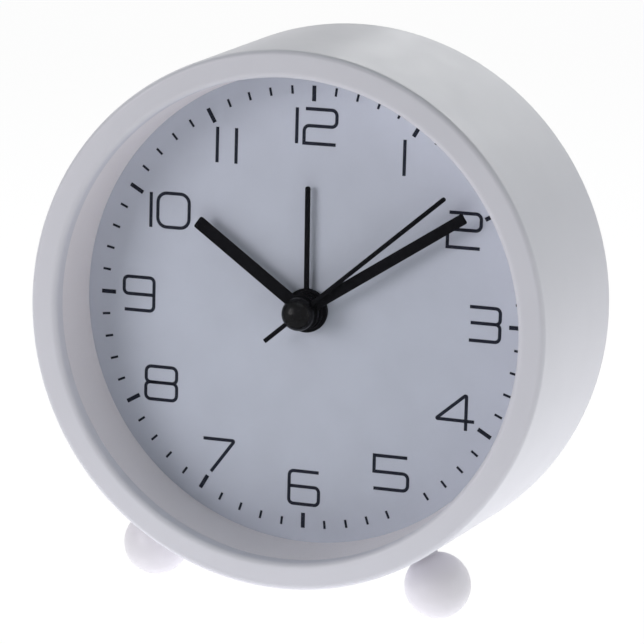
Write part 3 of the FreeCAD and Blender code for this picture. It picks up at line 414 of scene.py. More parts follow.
@dataclass(frozen=True)
class ClearLens(Finish):
    """Flat clear plastic, drawn as a pale layer that thickens where it is seen at a slant, which paints in
    the lens's reflection.
    """

    colour: Colour
    face_on: float = 0.001
    # Strength of the painted reflection where the lens is seen at a slant.
    slanted: float = 0.3
    haze: float = 0.001
    haze_size: float = 12.0

    def sockets(self, shader: Shader, place: Value) -> Sockets:
        """A painted reflection, as a pale layer that grows with the slant, and a faint haze.

        Args:
            shader: The material's nodes.
            place: Object coordinates.

        Returns:
            The shader's inputs.
        """
        facing = shader.node("ShaderNodeLayerWeight", {}, {"Blend": 0.2}, "Facing")
        haze = shader.noise(place, self.haze_size, 3.0) * self.haze
        # The slant term is painted reflection: the pale colour shows more at a slant. The haze term is the
        # plastic's own faint haze.
        painted_reflection_and_haze = facing * facing * self.slanted + haze + self.face_on
        return {"Base Color": (*self.colour, 1.0), "Roughness": 0.04, "Alpha": painted_reflection_and_haze}

    def material(self, name: str) -> bpy.types.Material:
        """Build the finish, blended with what is behind it.

        Args:
            name: The material's name.

        Returns:
            The material.
        """
        made = super().material(name)
        made.surface_render_method = "BLENDED"
        return made


@dataclass(frozen=True)
class Metal(Finish):
    """Rolled or plated metal, with a fine brushed grain along one axis."""

    colour: Colour
    roughness: float = 0.35
    along: Sequence[float] = (1.0, 1.0, 0.08)
    edge: float = 0.1
    grain: float = 0.25
    tarnish_size: float = 4.0

    def sockets(self, shader: Shader, place: Value) -> Sockets:
        """Tarnish as tint, and brushed grain as gloss and bump.

        Args:
            shader: The material's nodes.
            place: Object coordinates.

        Returns:
            The shader's inputs.
        """
        brushed = shader.noise(shader.stretched(place, self.along), self.grain, 3.0)
        tarnish = shader.noise(place, self.tarnish_size, 3.0)
        return {"Base Color": shader.shades(tarnish, self.colour, -0.15, 0.08), "Metallic": 1.0,
                "Roughness": brushed.around(0.0, 0.2) + tarnish.around(self.roughness, 0.1),
                "Normal": shader.bump(brushed, 0.003, self.edge)}


@dataclass(frozen=True)
class WoundWire(Finish):
    """Fine enamelled wire, wound in level turns round an upright coil."""

    colour: Colour
    turn: float = 0.22

    def sockets(self, shader: Shader, place: Value) -> Sockets:
        """Turns of wire as gloss and bump, and as a tint that is painted shade, darker in the grooves between
        turns.

        Args:
            shader: The material's nodes.
            place: Object coordinates.

        Returns:
            The shader's inputs.
        """
        turns = shader.waves(place, "Z", 1 / (20 * self.turn * MM), 0.4, 1.0)
        # Painted shade: the colour is half as bright in the grooves between turns, where the bump is low.
        return {"Base Color": shader.shades(turns, self.colour, -0.5, 0.0), "Metallic": 0.9,
                "Roughness": 0.3 + 0.15 * (1 - turns), "Normal": shader.bump(turns, 0.08)}


@dataclass(frozen=True)
class Board(Finish):
    """Lacquered circuit board, with copper tracks under the lacquer."""

    colour: Colour
    track: Colour = (0.16, 0.42, 0.16)
    spacing: float = 6.0

    def sockets(self, shader: Shader, place: Value) -> Sockets:
        """Wandering tracks as tint, gloss and bump.

        Args:
            shader: The material's nodes.
            place: Object coordinates.

        Returns:
            The shader's inputs.
        """
        tracks = shader.waves(place, "X", 1 / (self.spacing * MM), 6.0).step(0.72, 0.8)
        return {"Base Color": shader.mix(tracks, self.colour, self.track), "Roughness": 0.35 - 0.1 * tracks,
                "Coat Weight": 0.4, "Normal": shader.bump(tracks, 0.03)}


@dataclass(frozen=True)
class Jacket(Finish):
    """Printed film round a battery, with a copper-coloured band towards its positive end."""

    colour: Colour
    band: Colour = (0.62, 0.3, 0.1)
    band_from: float = 12.0
    band_edge: float = 0.2
    scuff_size: float = 3.0

    def sockets(self, shader: Shader, place: Value) -> Sockets:
        """The band, and scuffs as tint, gloss and bump.

        Args:
            shader: The material's nodes.
            place: Object coordinates.

        Returns:
            The shader's inputs.
        """
        across, _, _ = shader.axes(place)
        band = across.step(self.band_from * MM, (self.band_from + self.band_edge) * MM)
        scuffs = shader.noise(place, self.scuff_size, 4.0)
        film = shader.shades(scuffs, self.colour, -0.1, 0.1)
        return {"Base Color": shader.mix(band, film, self.band), "Metallic": 0.5,
                "Roughness": 0.25 + 0.15 * scuffs, "Normal": shader.bump(scuffs, 0.01)}


FINISHES = {
    Slot.CASE: Moulded((0.70, 0.692, 0.742), roughness=0.42, grain=0.9, grain_depth=0.003, drift=0.012,
                       coat=0.08),
    Slot.REVEAL: Moulded((0.83, 0.79, 0.81), roughness=0.5, drift=0.02),
    Slot.LENS: ClearLens((0.95, 0.97, 1.0)),
    Slot.DIAL: DialPaper((0.57, 0.60, 0.69)),
    Slot.INNER: Moulded((0.32, 0.33, 0.34), roughness=0.55, edge=0.12),
    Slot.FOOT: Moulded((0.725, 0.702, 0.738), roughness=0.42, grain=0.8, grain_depth=0.003, drift=0.012,
                       coat=0.08),
    Slot.HOUSING: Moulded((0.48, 0.48, 0.45), roughness=0.5, edge=0.15),
    Slot.WHEEL: Moulded((0.66, 0.6, 0.46), roughness=0.42, grain_depth=0.002, edge=0.05),
    Slot.MAGNET: Moulded((0.04, 0.04, 0.045), roughness=0.5, grain=0.15, grain_depth=0.01, edge=0.08),
    Slot.HAND: MattPaint((0.0032, 0.0032, 0.0045)),
    Slot.CAP: GlossBlack((0.002, 0.002, 0.0028)),
    Slot.IRON: Metal((0.42, 0.42, 0.43), roughness=0.4),
    Slot.BOBBIN: Moulded((0.02, 0.02, 0.022), roughness=0.45, edge=0.08),
    Slot.WIRE: WoundWire((0.72, 0.28, 0.12)),
    Slot.BOARD: Board((0.02, 0.16, 0.06)),
    Slot.PLATED: Metal((0.75, 0.74, 0.7), roughness=0.25, edge=0.05),
    Slot.BUZZER: Moulded((0.012, 0.012, 0.014), roughness=0.5, edge=0.15),
    Slot.JACKET: Jacket((0.05, 0.06, 0.08)),
    Slot.COVER: Moulded((0.66, 0.66, 0.68), roughness=0.55, grain=0.35, grain_depth=0.012, edge=0.15),
    Slot.DOOR: Moulded((0.66, 0.66, 0.68), roughness=0.55, grain=0.35, grain_depth=0.012, edge=0.15),
    Slot.KNOB: Moulded((0.64, 0.64, 0.66), roughness=0.42, grain_depth=0.003),
    Slot.SWITCH: Moulded((0.07, 0.075, 0.08), roughness=0.45, edge=0.15),
    Slot.SCREW: Metal((0.55, 0.55, 0.53), roughness=0.32, edge=0.08),
}


class Paints:
    """The materials, each built once."""

    def __init__(self) -> None:
        """Start with none built."""
        self.built: dict[str, bpy.types.Material] = {}

    def of_slot(self, slot: Slot) -> bpy.types.Material:
        """Material of one slot's finish."""
        return self.of_finish(slot.value, FINISHES[slot])

    def of_finish(self, name: str, finish: Finish) -> bpy.types.Material:
        """Build a finish, unless its name is built already.

        Args:
            name: The material's name.
            finish: The finish.

        Returns:
            The material of that name.
        """
        if name not in self.built:
            self.built[name] = finish.material(name)
        return self.built[name]

    def dress(self, slot: Slot, nodes: Sequence[str]) -> None:
        """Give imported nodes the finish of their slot.

        Args:
            slot: The slot.
            nodes: Names of the nodes.
        """
        for name in nodes:
            for place in frame["nodes"][name].material_slots:
                place.material = self.of_slot(slot)
            log.info("dressed %s in %s", name, slot.value)


PAINTS = Paints()


# Shapes

@dataclass(frozen=True)
class ClockFrame:
    """The clock's own frame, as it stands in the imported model.

    The axis runs from front to back through the middle of the dial, up runs up the case, and centre is the
    middle of the rim's front plane, in metres.
    """

    axis: np.ndarray
    up: np.ndarray
    centre: np.ndarray

    @classmethod
    def of_model(cls) -> "ClockFrame":
        """Read the frame from the minute hand's joint and the front of the case.

        Returns:
            The frame.
        """
        joint = next(j for j in frame["joints"] if j["name"] == "minute_hand_turn")
        axis = np.array(joint["axis"], float)
        axis /= np.linalg.norm(axis)
        up = np.array((0.0, -axis[2], axis[1]))
        pivot = np.array(joint["pos_m"], float)
        rim = (node_points("case_shell") @ axis).min()
        return cls(axis, up, pivot + (rim - pivot @ axis) * axis)

    def world(self, points: np.ndarray) -> np.ndarray:
        """Put points into the model's frame.

        Args:
            points: Points as x, depth and z.

        Returns:
            The points in metres.
        """
        across, depth, height = np.moveaxis(np.asarray(points, float), -1, 0)
        right = np.array((1.0, 0.0, 0.0))
        offsets = across[..., None] * right + depth[..., None] * self.axis + height[..., None] * self.up
        return self.centre + offsets * MM


def node_points(name: str) -> np.ndarray:
    """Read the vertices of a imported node.

    Args:
        name: The node.

    Returns:
        The vertices in metres.
    """
    mesh = frame["nodes"][name].data
    flat = np.empty(len(mesh.vertices) * 3, np.float32)
    mesh.vertices.foreach_get("co", flat)
    return flat.reshape(-1, 3).astype(float)


CLOCK = ClockFrame.of_model()


def turned(points: np.ndarray, degrees: float) -> np.ndarray:
    """Turn points clockwise about the clock's axis: x' = x cos + z sin, z' = z cos - x sin.

    Args:
        points: Points as x, depth and z.
        degrees: The angle.

    Returns:
        The turned points.
    """
    cosine, sine = np.cos(np.radians(degrees)), np.sin(np.radians(degrees))
    across, depth, height = np.moveaxis(points, -1, 0)
    return np.stack((across * cosine + height * sine, depth, height * cosine - across * sine), -1)


@dataclass(frozen=True)
class Corner:
    """One corner of an outline, and the radius that rounds it."""

    across: float
    along: float
    radius: float = 0.0


def rounded(corners: Sequence[Corner], closed: bool, steps: int = 8, guard: float = 0.0) -> np.ndarray:
    """Outline through corners, each replaced by an arc that touches both of its sides.

    With u the direction towards a corner P, v the direction away from it, f the angle between them and r
    the radius, the arc starts at P - r tan(f/2) u and turns through f towards v. A guard adds a point on each
    side of the arc, which keeps smooth shading on the flat faces beside it.

    Args:
        corners: The corners in order. The two ends of an open outline stay sharp.
        closed: Whether the last corner joins the first.
        steps: Number of steps in each arc.
        guard: Distance of the guard points from the arc.

    Returns:
        Points as rows of across and along.
    """
    points = np.array([(c.across, c.along) for c in corners])
    radius = np.array([c.radius for c in corners])[:, None]
    inward = points - np.roll(points, 1, axis=0)
    inward /= np.linalg.norm(inward, axis=1, keepdims=True)
    outward = np.roll(inward, -1, axis=0)
    cosine = np.clip((inward * outward).sum(1, keepdims=True), -1.0, 1.0)
    angle = np.arccos(cosine)
    normal = outward - cosine * inward
    normal /= np.maximum(np.linalg.norm(normal, axis=1, keepdims=True), 1e-9)
    reach = radius * np.tan(angle / 2)
    sweep = (angle * np.linspace(0, 1, steps + 1))[..., None]
    arcs = (points - reach * inward)[:, None] + radius[:, None] * (
        np.sin(sweep) * inward[:, None] + (1 - np.cos(sweep)) * normal[:, None])
    lead = points - (reach + guard) * inward
    trail = points + (reach + guard) * outward
    path = np.concatenate((lead[:, None], arcs, trail[:, None]), axis=1)
    if closed:
        path = path.reshape(-1, 2)
        gaps = np.linalg.norm(path - np.roll(path, 1, axis=0), axis=1)
    else:
        path = np.concatenate((points[:1], path[1:-1].reshape(-1, 2), points[-1:]))
        gaps = np.concatenate(((1.0,), np.linalg.norm(np.diff(path, axis=0), axis=1)))
    return path[gaps > 1e-6]


def glyph_paths(strokes: Sequence[tuple]) -> list[tuple[np.ndarray, bool]]:
    """Round the corners of a glyph's strokes.

    Args:
        strokes: Each stroke's corners, as across, along and radius, then the word closed if it is a loop.

    Returns:
        Each stroke's path, and whether it is a loop.
    """
    paths = []
    for stroke in strokes:
        closed = stroke[-1] == "closed"
        corners = [Corner(*corner) for corner in (stroke[:-1] if closed else stroke)]
        paths.append((rounded(corners, closed, steps=GLYPH_STEPS), closed))
    return paths


@dataclass
class Surface:
    """Points in the clock's frame, and the faces between them."""

    points: np.ndarray
    quads: np.ndarray
    triangles: np.ndarray = field(default_factory=lambda: np.empty((0, 3), int))

    @classmethod
    def of_grid(cls, grid: np.ndarray, wrap_rows: bool, wrap_columns: bool = True,
                capped: bool = False) -> "Surface":
        """Surface over a grid of points, turned so that its faces point outwards.

        A row whose points are all the same becomes one pole with triangles round it.

        Args:
            grid: Points by row and column.
            wrap_rows: Whether the last row joins the first.
            wrap_columns: Whether the last column joins the first.
            capped: Whether the first and last rows are closed by one face each, which needs four columns.

        Returns:
            The closed surface.
        """
        rows, columns = grid.shape[:2]
        index = np.arange(rows * columns).reshape(rows, columns)
        pole = np.ptp(grid, axis=1).max(axis=1) < 1e-9
        index[pole] = index[pole, :1]
        if wrap_rows:
            index = np.concatenate((index, index[:1]))
        if wrap_columns:
            index = np.concatenate((index, index[:, :1]), axis=1)
        quads = np.stack((index[:-1, :-1], index[:-1, 1:], index[1:, 1:], index[1:, :-1]), -1).reshape(-1, 4)
        if capped:
            quads = np.concatenate((quads, index[:1, 3::-1], index[-1:, :4]))
        first = quads[:, 0] == quads[:, 1]
        last = quads[:, 2] == quads[:, 3]
        triangles = np.concatenate((quads[first][:, (0, 2, 3)], quads[last][:, (0, 1, 2)]))
        quads = quads[~first & ~last]
        used = np.unique(np.concatenate((quads.ravel(), triangles.ravel())))
        return cls(grid.reshape(-1, 3)[used], np.searchsorted(used, quads),
                   np.searchsorted(used, triangles)).outward()

    def outward(self) -> "Surface":
        """Turn every face over if the volume that the surface encloses is negative.

        Returns:
            The surface, whose faces point outwards.
        """
        fans = np.concatenate((self.triangles, self.quads[:, (0, 1, 2)], self.quads[:, (0, 2, 3)]))
        one, two, three = np.moveaxis(self.points[fans], 1, 0)
        # The clock's frame has x, depth and z in the same order as the model's x, y and z.
        if (one * np.cross(two, three)).sum() < 0:
            return Surface(self.points, self.quads[:, ::-1], self.triangles[:, ::-1])
        return self

    @classmethod
    def joined(cls, parts: Sequence["Surface"]) -> "Surface":
        """Join several surfaces.

        Args:
            parts: The surfaces.

        Returns:
            One surface of all their faces.
        """
        starts = np.cumsum([0] + [len(part.points) for part in parts[:-1]])
        return cls(np.concatenate([part.points for part in parts]),
                   np.concatenate([part.quads + start for part, start in zip(parts, starts)]),
                   np.concatenate([part.triangles + start for part, start in zip(parts, starts)]))

    def piece(self, name: str, body: str, slot: Slot, material: bpy.types.Material | None = None,
              smooth: bool = True) -> bpy.types.Object:
        """Make the surface a piece of the clock.

        Args:
            name: The piece's name.
            body: The body that it rides on.
            slot: The slot that it takes its finish from.
            material: Its material, if it isn't the slot's own.
            smooth: Whether it is shaded smooth.

        Returns:
            The new object.
        """
        mesh = bpy.data.meshes.new(name)
        mesh.vertices.add(len(self.points))
        mesh.vertices.foreach_set("co", CLOCK.world(self.points).astype(np.float32).ravel())
        sizes = np.repeat((4, 3), (len(self.quads), len(self.triangles)))
        mesh.loops.add(int(sizes.sum()))
        mesh.loops.foreach_set("vertex_index", np.concatenate((self.quads.ravel(), self.triangles.ravel())))
        mesh.polygons.add(len(sizes))
        mesh.polygons.foreach_set("loop_start", np.cumsum(sizes) - sizes)
        mesh.polygons.foreach_set("use_smooth", np.full(len(sizes), smooth))
        mesh.update(calc_edges=True)
        mesh.validate()
        mesh.materials.append(material or PAINTS.of_slot(slot))
        piece = bpy.data.objects.new(name, mesh)
        bpy.context.scene.collection.objects.link(piece)
        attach(piece, body)
        log.info("made %s, %d faces", name, len(sizes))
        return piece


@dataclass(frozen=True)
class Lathe:
    """Turns outlines about an axis, which runs through origin along a direction, both as x, depth and z."""

    origin: Place = (0.0, 0.0, 0.0)
    direction: Place = (0.0, 1.0, 0.0)
    around: int = 256

    def turn(self, outline: np.ndarray, closed: bool) -> Surface:
        """Surface of an outline turned right round the axis.

        Its point at outline place s and angle a is origin + along(s) axis + across(s) (cos a e + sin a f),
        where e and f are two directions square to the axis.

        Args:
            outline: Rows of distance from the axis and distance along it.
            closed: Whether the outline is a loop.

        Returns:
            The surface.
        """
        axis, side, other = self.directions()
        angle = np.linspace(0, 2 * np.pi, self.around, endpoint=False)[:, None]
        spokes = np.cos(angle) * side + np.sin(angle) * other
        across, along = outline.T
        grid = np.array(self.origin) + along[:, None, None] * axis + across[:, None, None] * spokes
        return Surface.of_grid(grid, wrap_rows=closed)

    def directions(self) -> tuple[np.ndarray, np.ndarray, np.ndarray]:
        """Work out the lathe's own directions.

        Returns:
            The axis and two directions square to it, all of length 1.
        """
        axis = np.array(self.direction, float)
        axis /= np.linalg.norm(axis)
        side = np.cross(axis, np.roll(axis, 1) + (0.0, 0.0, 0.1))
        side /= np.linalg.norm(side)
        return axis, side, np.cross(axis, side)


@dataclass(frozen=True)
class Film:
    """Flat stroke that stands a little proud of a face of the clock.

    Its outline is the path moved half a width to each side, along the mitre at each point:
    m = (n1 + n2) / (1 + n1 . n2), where n1 and n2 are square to the path before and after the point.
    """

    width: float
    top: float
    bottom: float

    def along(self, path: np.ndarray, closed: bool = False) -> Surface:
        """Stroke along a path.

        Args:
            path: Rows of x and z.
            closed: Whether the path is a loop.

        Returns:
            The closed surface of the stroke.
        """
        steps = np.roll(path, -1, axis=0) - path
        if not closed:
            steps[-1] = steps[-2]
        steps /= np.linalg.norm(steps, axis=1, keepdims=True)
        after = np.stack((-steps[:, 1], steps[:, 0]), -1)
        before = np.roll(after, 1, axis=0)
        if not closed:
            before[0] = after[0]
        mitre = (before + after) / (1 + (before * after).sum(1, keepdims=True))
        left, right = path + mitre * self.width / 2, path - mitre * self.width / 2
        edges = ((left, self.top), (right, self.top), (right, self.bottom), (left, self.bottom))
        ring = [np.insert(edge, 1, depth, axis=1) for edge, depth in edges]
        return Surface.of_grid(np.stack(ring, 1), wrap_rows=closed, capped=not closed)


class Assembly:
    """A sub-assembly of the clock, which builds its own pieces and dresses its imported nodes."""

    def build(self) -> None:
        """Make the new pieces, where there are any."""

    def dress(self) -> None:
        """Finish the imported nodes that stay, where there are any."""


# Case, with its reveal, lens and dial frame

@dataclass
class Case(Assembly):
    """Case shell with a small front lip, the reveal inside it, the lens and the frame behind the dial."""

    front_radius: float = 44.86
    back_radius: float = 46.1
    depth: float = 35.0
    bore_radius: float = 43.2
    lip_radius: float = 40.3
    front_round: float = 0.9
    lip_round: float = 1.0
    back_round: float = 0.5
    inner_round: float = 0.1
    seam_round: float = 0.015
    guard: float = 0.12
    lens_back: float = 2.8
    reveal_front_radius: float = 40.3
    reveal_back_radius: float = 39.94
    reveal_back: float = 12.9
    reveal_wall: float = 1.0
    settle: tuple[float, float] = (-0.15, -0.32)

    def settled(self, surface: Surface, reach: float) -> Surface:
        """Move a surface's front sideways and down a little against the dial, as moulded parts settle.

        Each point moves by settle times 1 - depth / reach, where that is more than 0.

        Args:
            surface: The surface.
            reach: Depth at which it stays in place.

        Returns:
            The same surface, moved.
        """
        share = np.clip(1 - surface.points[:, 1] / reach, 0.0, 1.0)
        surface.points[:, 0] += self.settle[0] * share
        surface.points[:, 2] += self.settle[1] * share
        return surface

    def build(self) -> None:
        """Make the shell and the reveal."""
        self.build_shell()
        self.build_reveal()

    def build_shell(self) -> None:
        """Make the shell, whose wall narrows towards the front and turns in to a small lip."""
        outline = rounded((Corner(self.lip_radius, 0, self.lip_round),
                           Corner(self.front_radius, 0, self.front_round),
                           Corner(self.back_radius, self.depth, self.back_round),
                           Corner(self.bore_radius, self.depth, self.back_round / 2),
                           Corner(self.bore_radius, self.lens_back, self.inner_round),
                           Corner(self.lip_radius, self.lens_back, self.seam_round)), True, guard=self.guard)
        wall = self.settled(Lathe().turn(outline, closed=True), self.depth)
        shell = wall.piece("case_wall", "case", Slot.CASE)
        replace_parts(shell, "case_shell")

    def build_reveal(self) -> None:
        """Make the reveal, a ring that narrows from behind the lens to the dial."""
        front_outer = self.reveal_front_radius + self.reveal_wall
        back_outer = self.reveal_back_radius + self.reveal_wall
        outline = rounded((Corner(self.reveal_front_radius, self.lens_back, self.seam_round),
                           Corner(self.reveal_back_radius, self.reveal_back, self.inner_round),
                           Corner(back_outer, self.reveal_back, self.inner_round),
                           Corner(front_outer, self.lens_back, self.inner_round)),
                          True, steps=4, guard=self.guard)
        ring = self.settled(Lathe().turn(outline, closed=True), self.reveal_back)
        reveal = ring.piece("reveal_wall", "case", Slot.REVEAL)
        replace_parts(reveal, "reveal_ring")

    def dress(self) -> None:
        """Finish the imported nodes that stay."""
        PAINTS.dress(Slot.LENS, ("lens",))
        PAINTS.dress(Slot.INNER, ("dial_frame",))


# Feet

@dataclass
class Feet(Assembly):
    """Two balls on short necks, under the front of the case."""

    ball_radius: float = 5.6
    place_radius: float = 51.04
    depth: float = 14.0
    angle: float = 30.0
    neck_radius: float = 2.4
    neck_end: float = 44.9
    steps: int = 48

    def outline(self) -> np.ndarray:
        """Circle of the ball from its outer pole to the neck, then the neck's side to its end.

        Returns:
            Points as distance across, and distance along from the ball's middle, outwards from the case.
        """
        start = np.arcsin(self.neck_radius / self.ball_radius)
        angle = np.linspace(0, np.pi - start, self.steps)
        ball = self.ball_radius * np.stack((np.sin(angle), np.cos(angle)), -1)
        neck = self.neck_end - self.place_radius
        return np.concatenate((ball, ((self.neck_radius, neck), (0.0, neck))))

    def build(self) -> None:
        """Make both feet."""
        for name, side in (("left_foot", -1), ("right_foot", 1)):
            out = np.radians(self.angle) * side
            direction = (float(np.sin(out)), 0.0, float(-np.cos(out)))
            origin = tuple(self.place_radius * part for part in direction)
            lathe = Lathe((origin[0], self.depth, origin[2]), direction, around=96)
            foot = lathe.turn(self.outline(), closed=False).piece(f"{name}_ball", "case", Slot.FOOT)
            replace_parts(foot, name)


# Dial

DIGITS = {
    "0": (((-2.85, 2.9, 1.6), (2.85, 2.9, 1.6), (2.85, -2.9, 1.6), (-2.85, -2.9, 1.6), "closed"),),
    "1": (((0, 3.0, 0), (0, -3.0, 0)),),
    "2": (((-2.65, 2.9, 0), (2.85, 2.9, 0.9), (2.85, 0.1, 0.9), (-2.85, 0.1, 0.9), (-2.85, -2.85, 0),
           (2.75, -2.85, 0)),),
    "3": (((-2.65, 2.8, 0), (2.6, 2.8, 0.8), (2.6, 0.15, 0.75), (-2.45, 0.15, 0)),
          ((1.5, 0.15, 0), (2.6, 0.15, 0.75), (2.6, -2.8, 0.8), (-2.65, -2.8, 0))),
    "4": (((3.2, -1.4, 0), (-3.45, -1.35, 0.12), (1.75, 3.1, 0.2), (1.75, -3.0, 0)),),
    "5": (((2.8, 2.8, 0), (-3.0, 2.8, 0), (-3.0, 0.05, 0), (3.0, 0.05, 0.9), (3.0, -2.85, 0.9),
           (-3.0, -2.85, 0)),),
    "6": (((2.6, 2.85, 0), (-2.67, 2.85, 0.8), (-2.67, -2.83, 0.8), (2.67, -2.83, 0.8), (2.67, 0.22, 0.8),
           (-2.67, 0.22, 0)),),
    "7": (((-2.85, 2.85, 0), (2.85, 2.85, 0.2), (-1.35, -2.85, 0)),),
    "8": (((-2.8, 2.85, 0.9), (2.8, 2.85, 0.9), (2.8, 0.1, 0.8), (-2.8, 0.1, 0.8), "closed"),
          ((-2.85, 0.1, 0.8), (2.85, 0.1, 0.8), (2.85, -2.85, 0.9), (-2.85, -2.85, 0.9), "closed")),
    "9": (((-2.6, -2.85, 0), (2.75, -2.85, 0.8), (2.75, 2.85, 0.8), (-2.75, 2.85, 0.8), (-2.75, -0.1, 0.8),
           (2.75, -0.1, 0)),),
}


@dataclass
class Dial(Assembly):
    """Matt dial with upright numerals and minute marks, turned a little against the feet."""

    front: float = 12.9
    film: float = 0.03
    turn: float = -2.07
    stroke: float = 0.57
    mark_outer: float = 37.6
    hour_mark: tuple[float, float] = (2.6, 0.70)
    minute_mark: tuple[float, float] = (1.4, 0.41)
    bare_hour: int = 5
    numerals: dict[str, tuple] = field(default_factory=lambda: {
        "twelve": (("1", -2.9, 30.8), ("2", 1.25, 30.8)),
        "one": (("1", 16.05, 26.7),),
        "two": (("2", 26.75, 15.43),),
        "three": (("3", 30.83, 0.14),),
        "four": (("4", 26.4, -15.0),),
        "five": (("5", 15.4, -26.5),),
        "six": (("6", 0.0, -30.7),),
        "seven": (("7", -15.55, -26.7),),
        "eight": (("8", -26.35, -15.15),),
        "nine": (("9", -30.75, 0.05),),
        "ten": (("1", -28.8, 14.7), ("0", -24.7, 14.8)),
        "eleven": (("1", -17.0, 26.6), ("1", -13.6, 26.6)),
    })

    def print_film(self, width: float) -> Film:
        """Film of ink of one width, sunk a little into the dial."""
        return Film(width, self.front - self.film, self.front + self.film)

    def digit(self, glyph: str, across: float, height: float) -> list[Surface]:
        """Draw one digit.

        Args:
            glyph: The digit.
            across: Its middle's x.
            height: Its middle's z.

        Returns:
            Its strokes.
        """
        film = self.print_film(self.stroke)
        return [film.along(path + (across, height), closed) for path, closed in glyph_paths(DIGITS[glyph])]

    def marks(self, angles: np.ndarray, length: float, width: float) -> Surface:
        """Radial bars that end at the outer mark radius: each is one block, turned to its angle.

        Args:
            angles: Their angles.
            length: Their length.
            width: Their width.

        Returns:
            All of them as one surface.
        """
        film = self.print_film(width)
        bar = film.along(np.array(((0.0, self.mark_outer - length), (0.0, self.mark_outer))))
        return Surface.joined([Surface(turned(bar.points, angle), bar.quads) for angle in angles])

    def build(self) -> None:
        """Make the numerals and marks."""
        ink = PAINTS.of_finish("dial_ink", Ink((0.010, 0.012, 0.022)))
        for name, digits in self.numerals.items():
            strokes = [stroke for digit in digits for stroke in self.digit(*digit)]
            self.print_piece(f"numeral_{name}", Surface.joined(strokes), ink)
        minutes = np.arange(60)
        hours = minutes % 5 == 0
        shown = minutes != self.bare_hour * 5
        self.print_piece("hour_marks", self.marks(minutes[hours & shown] * 6.0, *self.hour_mark), ink)
        self.print_piece("minute_marks", self.marks(minutes[~hours] * 6.0, *self.minute_mark), ink)

    def print_piece(self, name: str, surface: Surface, ink: bpy.types.Material) -> None:
        """Turn a print with the dial and make it a piece.

        Args:
            name: The piece's name.
            surface: The print, with its twelve straight up.
            ink: Its material.
        """
        surface.points = turned(surface.points, self.turn)
        surface.piece(name, "case", Slot.DIAL, ink, smooth=False)

    def dress(self) -> None:
        """Finish the dial plate."""
        PAINTS.dress(Slot.DIAL, ("dial",))


# Hands

@dataclass
class Hands(Assembly):
    """Alarm, hour, minute and second hands, and the domed cap on the last."""

    cap_radius: float = 2.8
    cap_front: float = 5.6
    cap_back: float = 8.3
    cap_dome: float = 2.1
    steps: int = 24
    around: int = 96

    def build(self) -> None:
        """Make the cap: half an ellipse of the dome's height, turned about the axis, on a short cylinder."""
        angle = np.linspace(0, np.pi / 2, self.steps)
        across, along = self.cap_radius * np.sin(angle), self.cap_dome * (1 - np.cos(angle))
        dome = np.stack((across, self.cap_front + along), -1)
        outline = np.concatenate((dome, ((self.cap_radius, self.cap_back), (0.0, self.cap_back))))
        cap = Lathe(around=self.around).turn(outline, closed=False)
        piece = cap.piece("second_hand_dome", "second_hand_set", Slot.CAP)
        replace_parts(piece, "second_hand_cap")

    def dress(self) -> None:
        """Finish the hands."""
        PAINTS.dress(Slot.HAND, ("alarm_hand", "hour_hand", "minute_hand", "second_hand"))


# Movement

@dataclass
class Movement(Assembly):
    """Everything in and on the movement's housing."""

    nodes: dict[Slot, tuple[str, ...]] = field(default_factory=lambda: {
        Slot.HOUSING: ("movement_front_housing", "movement_rear_housing"),
        Slot.INNER: ("train_plate", "train_bridge"),
        Slot.WHEEL: ("alarm_wheel", "hour_wheel", "minute_pinion", "motion_wheel", "alarm_setting_pinion",
                     "centre_wheel", "third_wheel", "seconds_wheel", "intermediate_wheel"),
        Slot.MAGNET: ("rotor",),
        Slot.IRON: ("stator", "coil_core"),
        Slot.BOBBIN: ("coil_bobbin",),
        Slot.WIRE: ("coil_winding",),
        Slot.BOARD: ("circuit_board",),
        Slot.PLATED: ("quartz_crystal", "plus_contact", "minus_contact"),
        Slot.BUZZER: ("buzzer",),
        Slot.JACKET: ("battery",),
        Slot.SCREW: ("train_plate_screws", "bridge_screws"),
    })

    def dress(self) -> None:
        """Finish every node."""
        for slot, names in self.nodes.items():
            PAINTS.dress(slot, names)


# Back

LETTERS = {
    "O": (((-0.7, 1.0, 0.65), (0.7, 1.0, 0.65), (0.7, -1.0, 0.65), (-0.7, -1.0, 0.65), "closed"),),
    "N": (((-0.7, -1.0, 0), (-0.7, 1.0, 0), (0.7, -1.0, 0), (0.7, 1.0, 0)),),
    "F": (((-0.6, -1.0, 0), (-0.6, 1.0, 0), (0.7, 1.0, 0)), ((-0.6, 0.1, 0), (0.5, 0.1, 0))),
}
BELL = ((-1.7, -1.2), (-1.15, -0.6, 0.3), (-1.05, 1.5, 1.0), (1.05, 1.5, 1.0), (1.15, -0.6, 0.3), (1.7, -1.2))
CLAPPER = ((-0.45, -1.9), (0.45, -1.9))
CLOCK_HANDS = ((0.0, 0.95), (0.0, 0.0), (-0.75, 0.0))


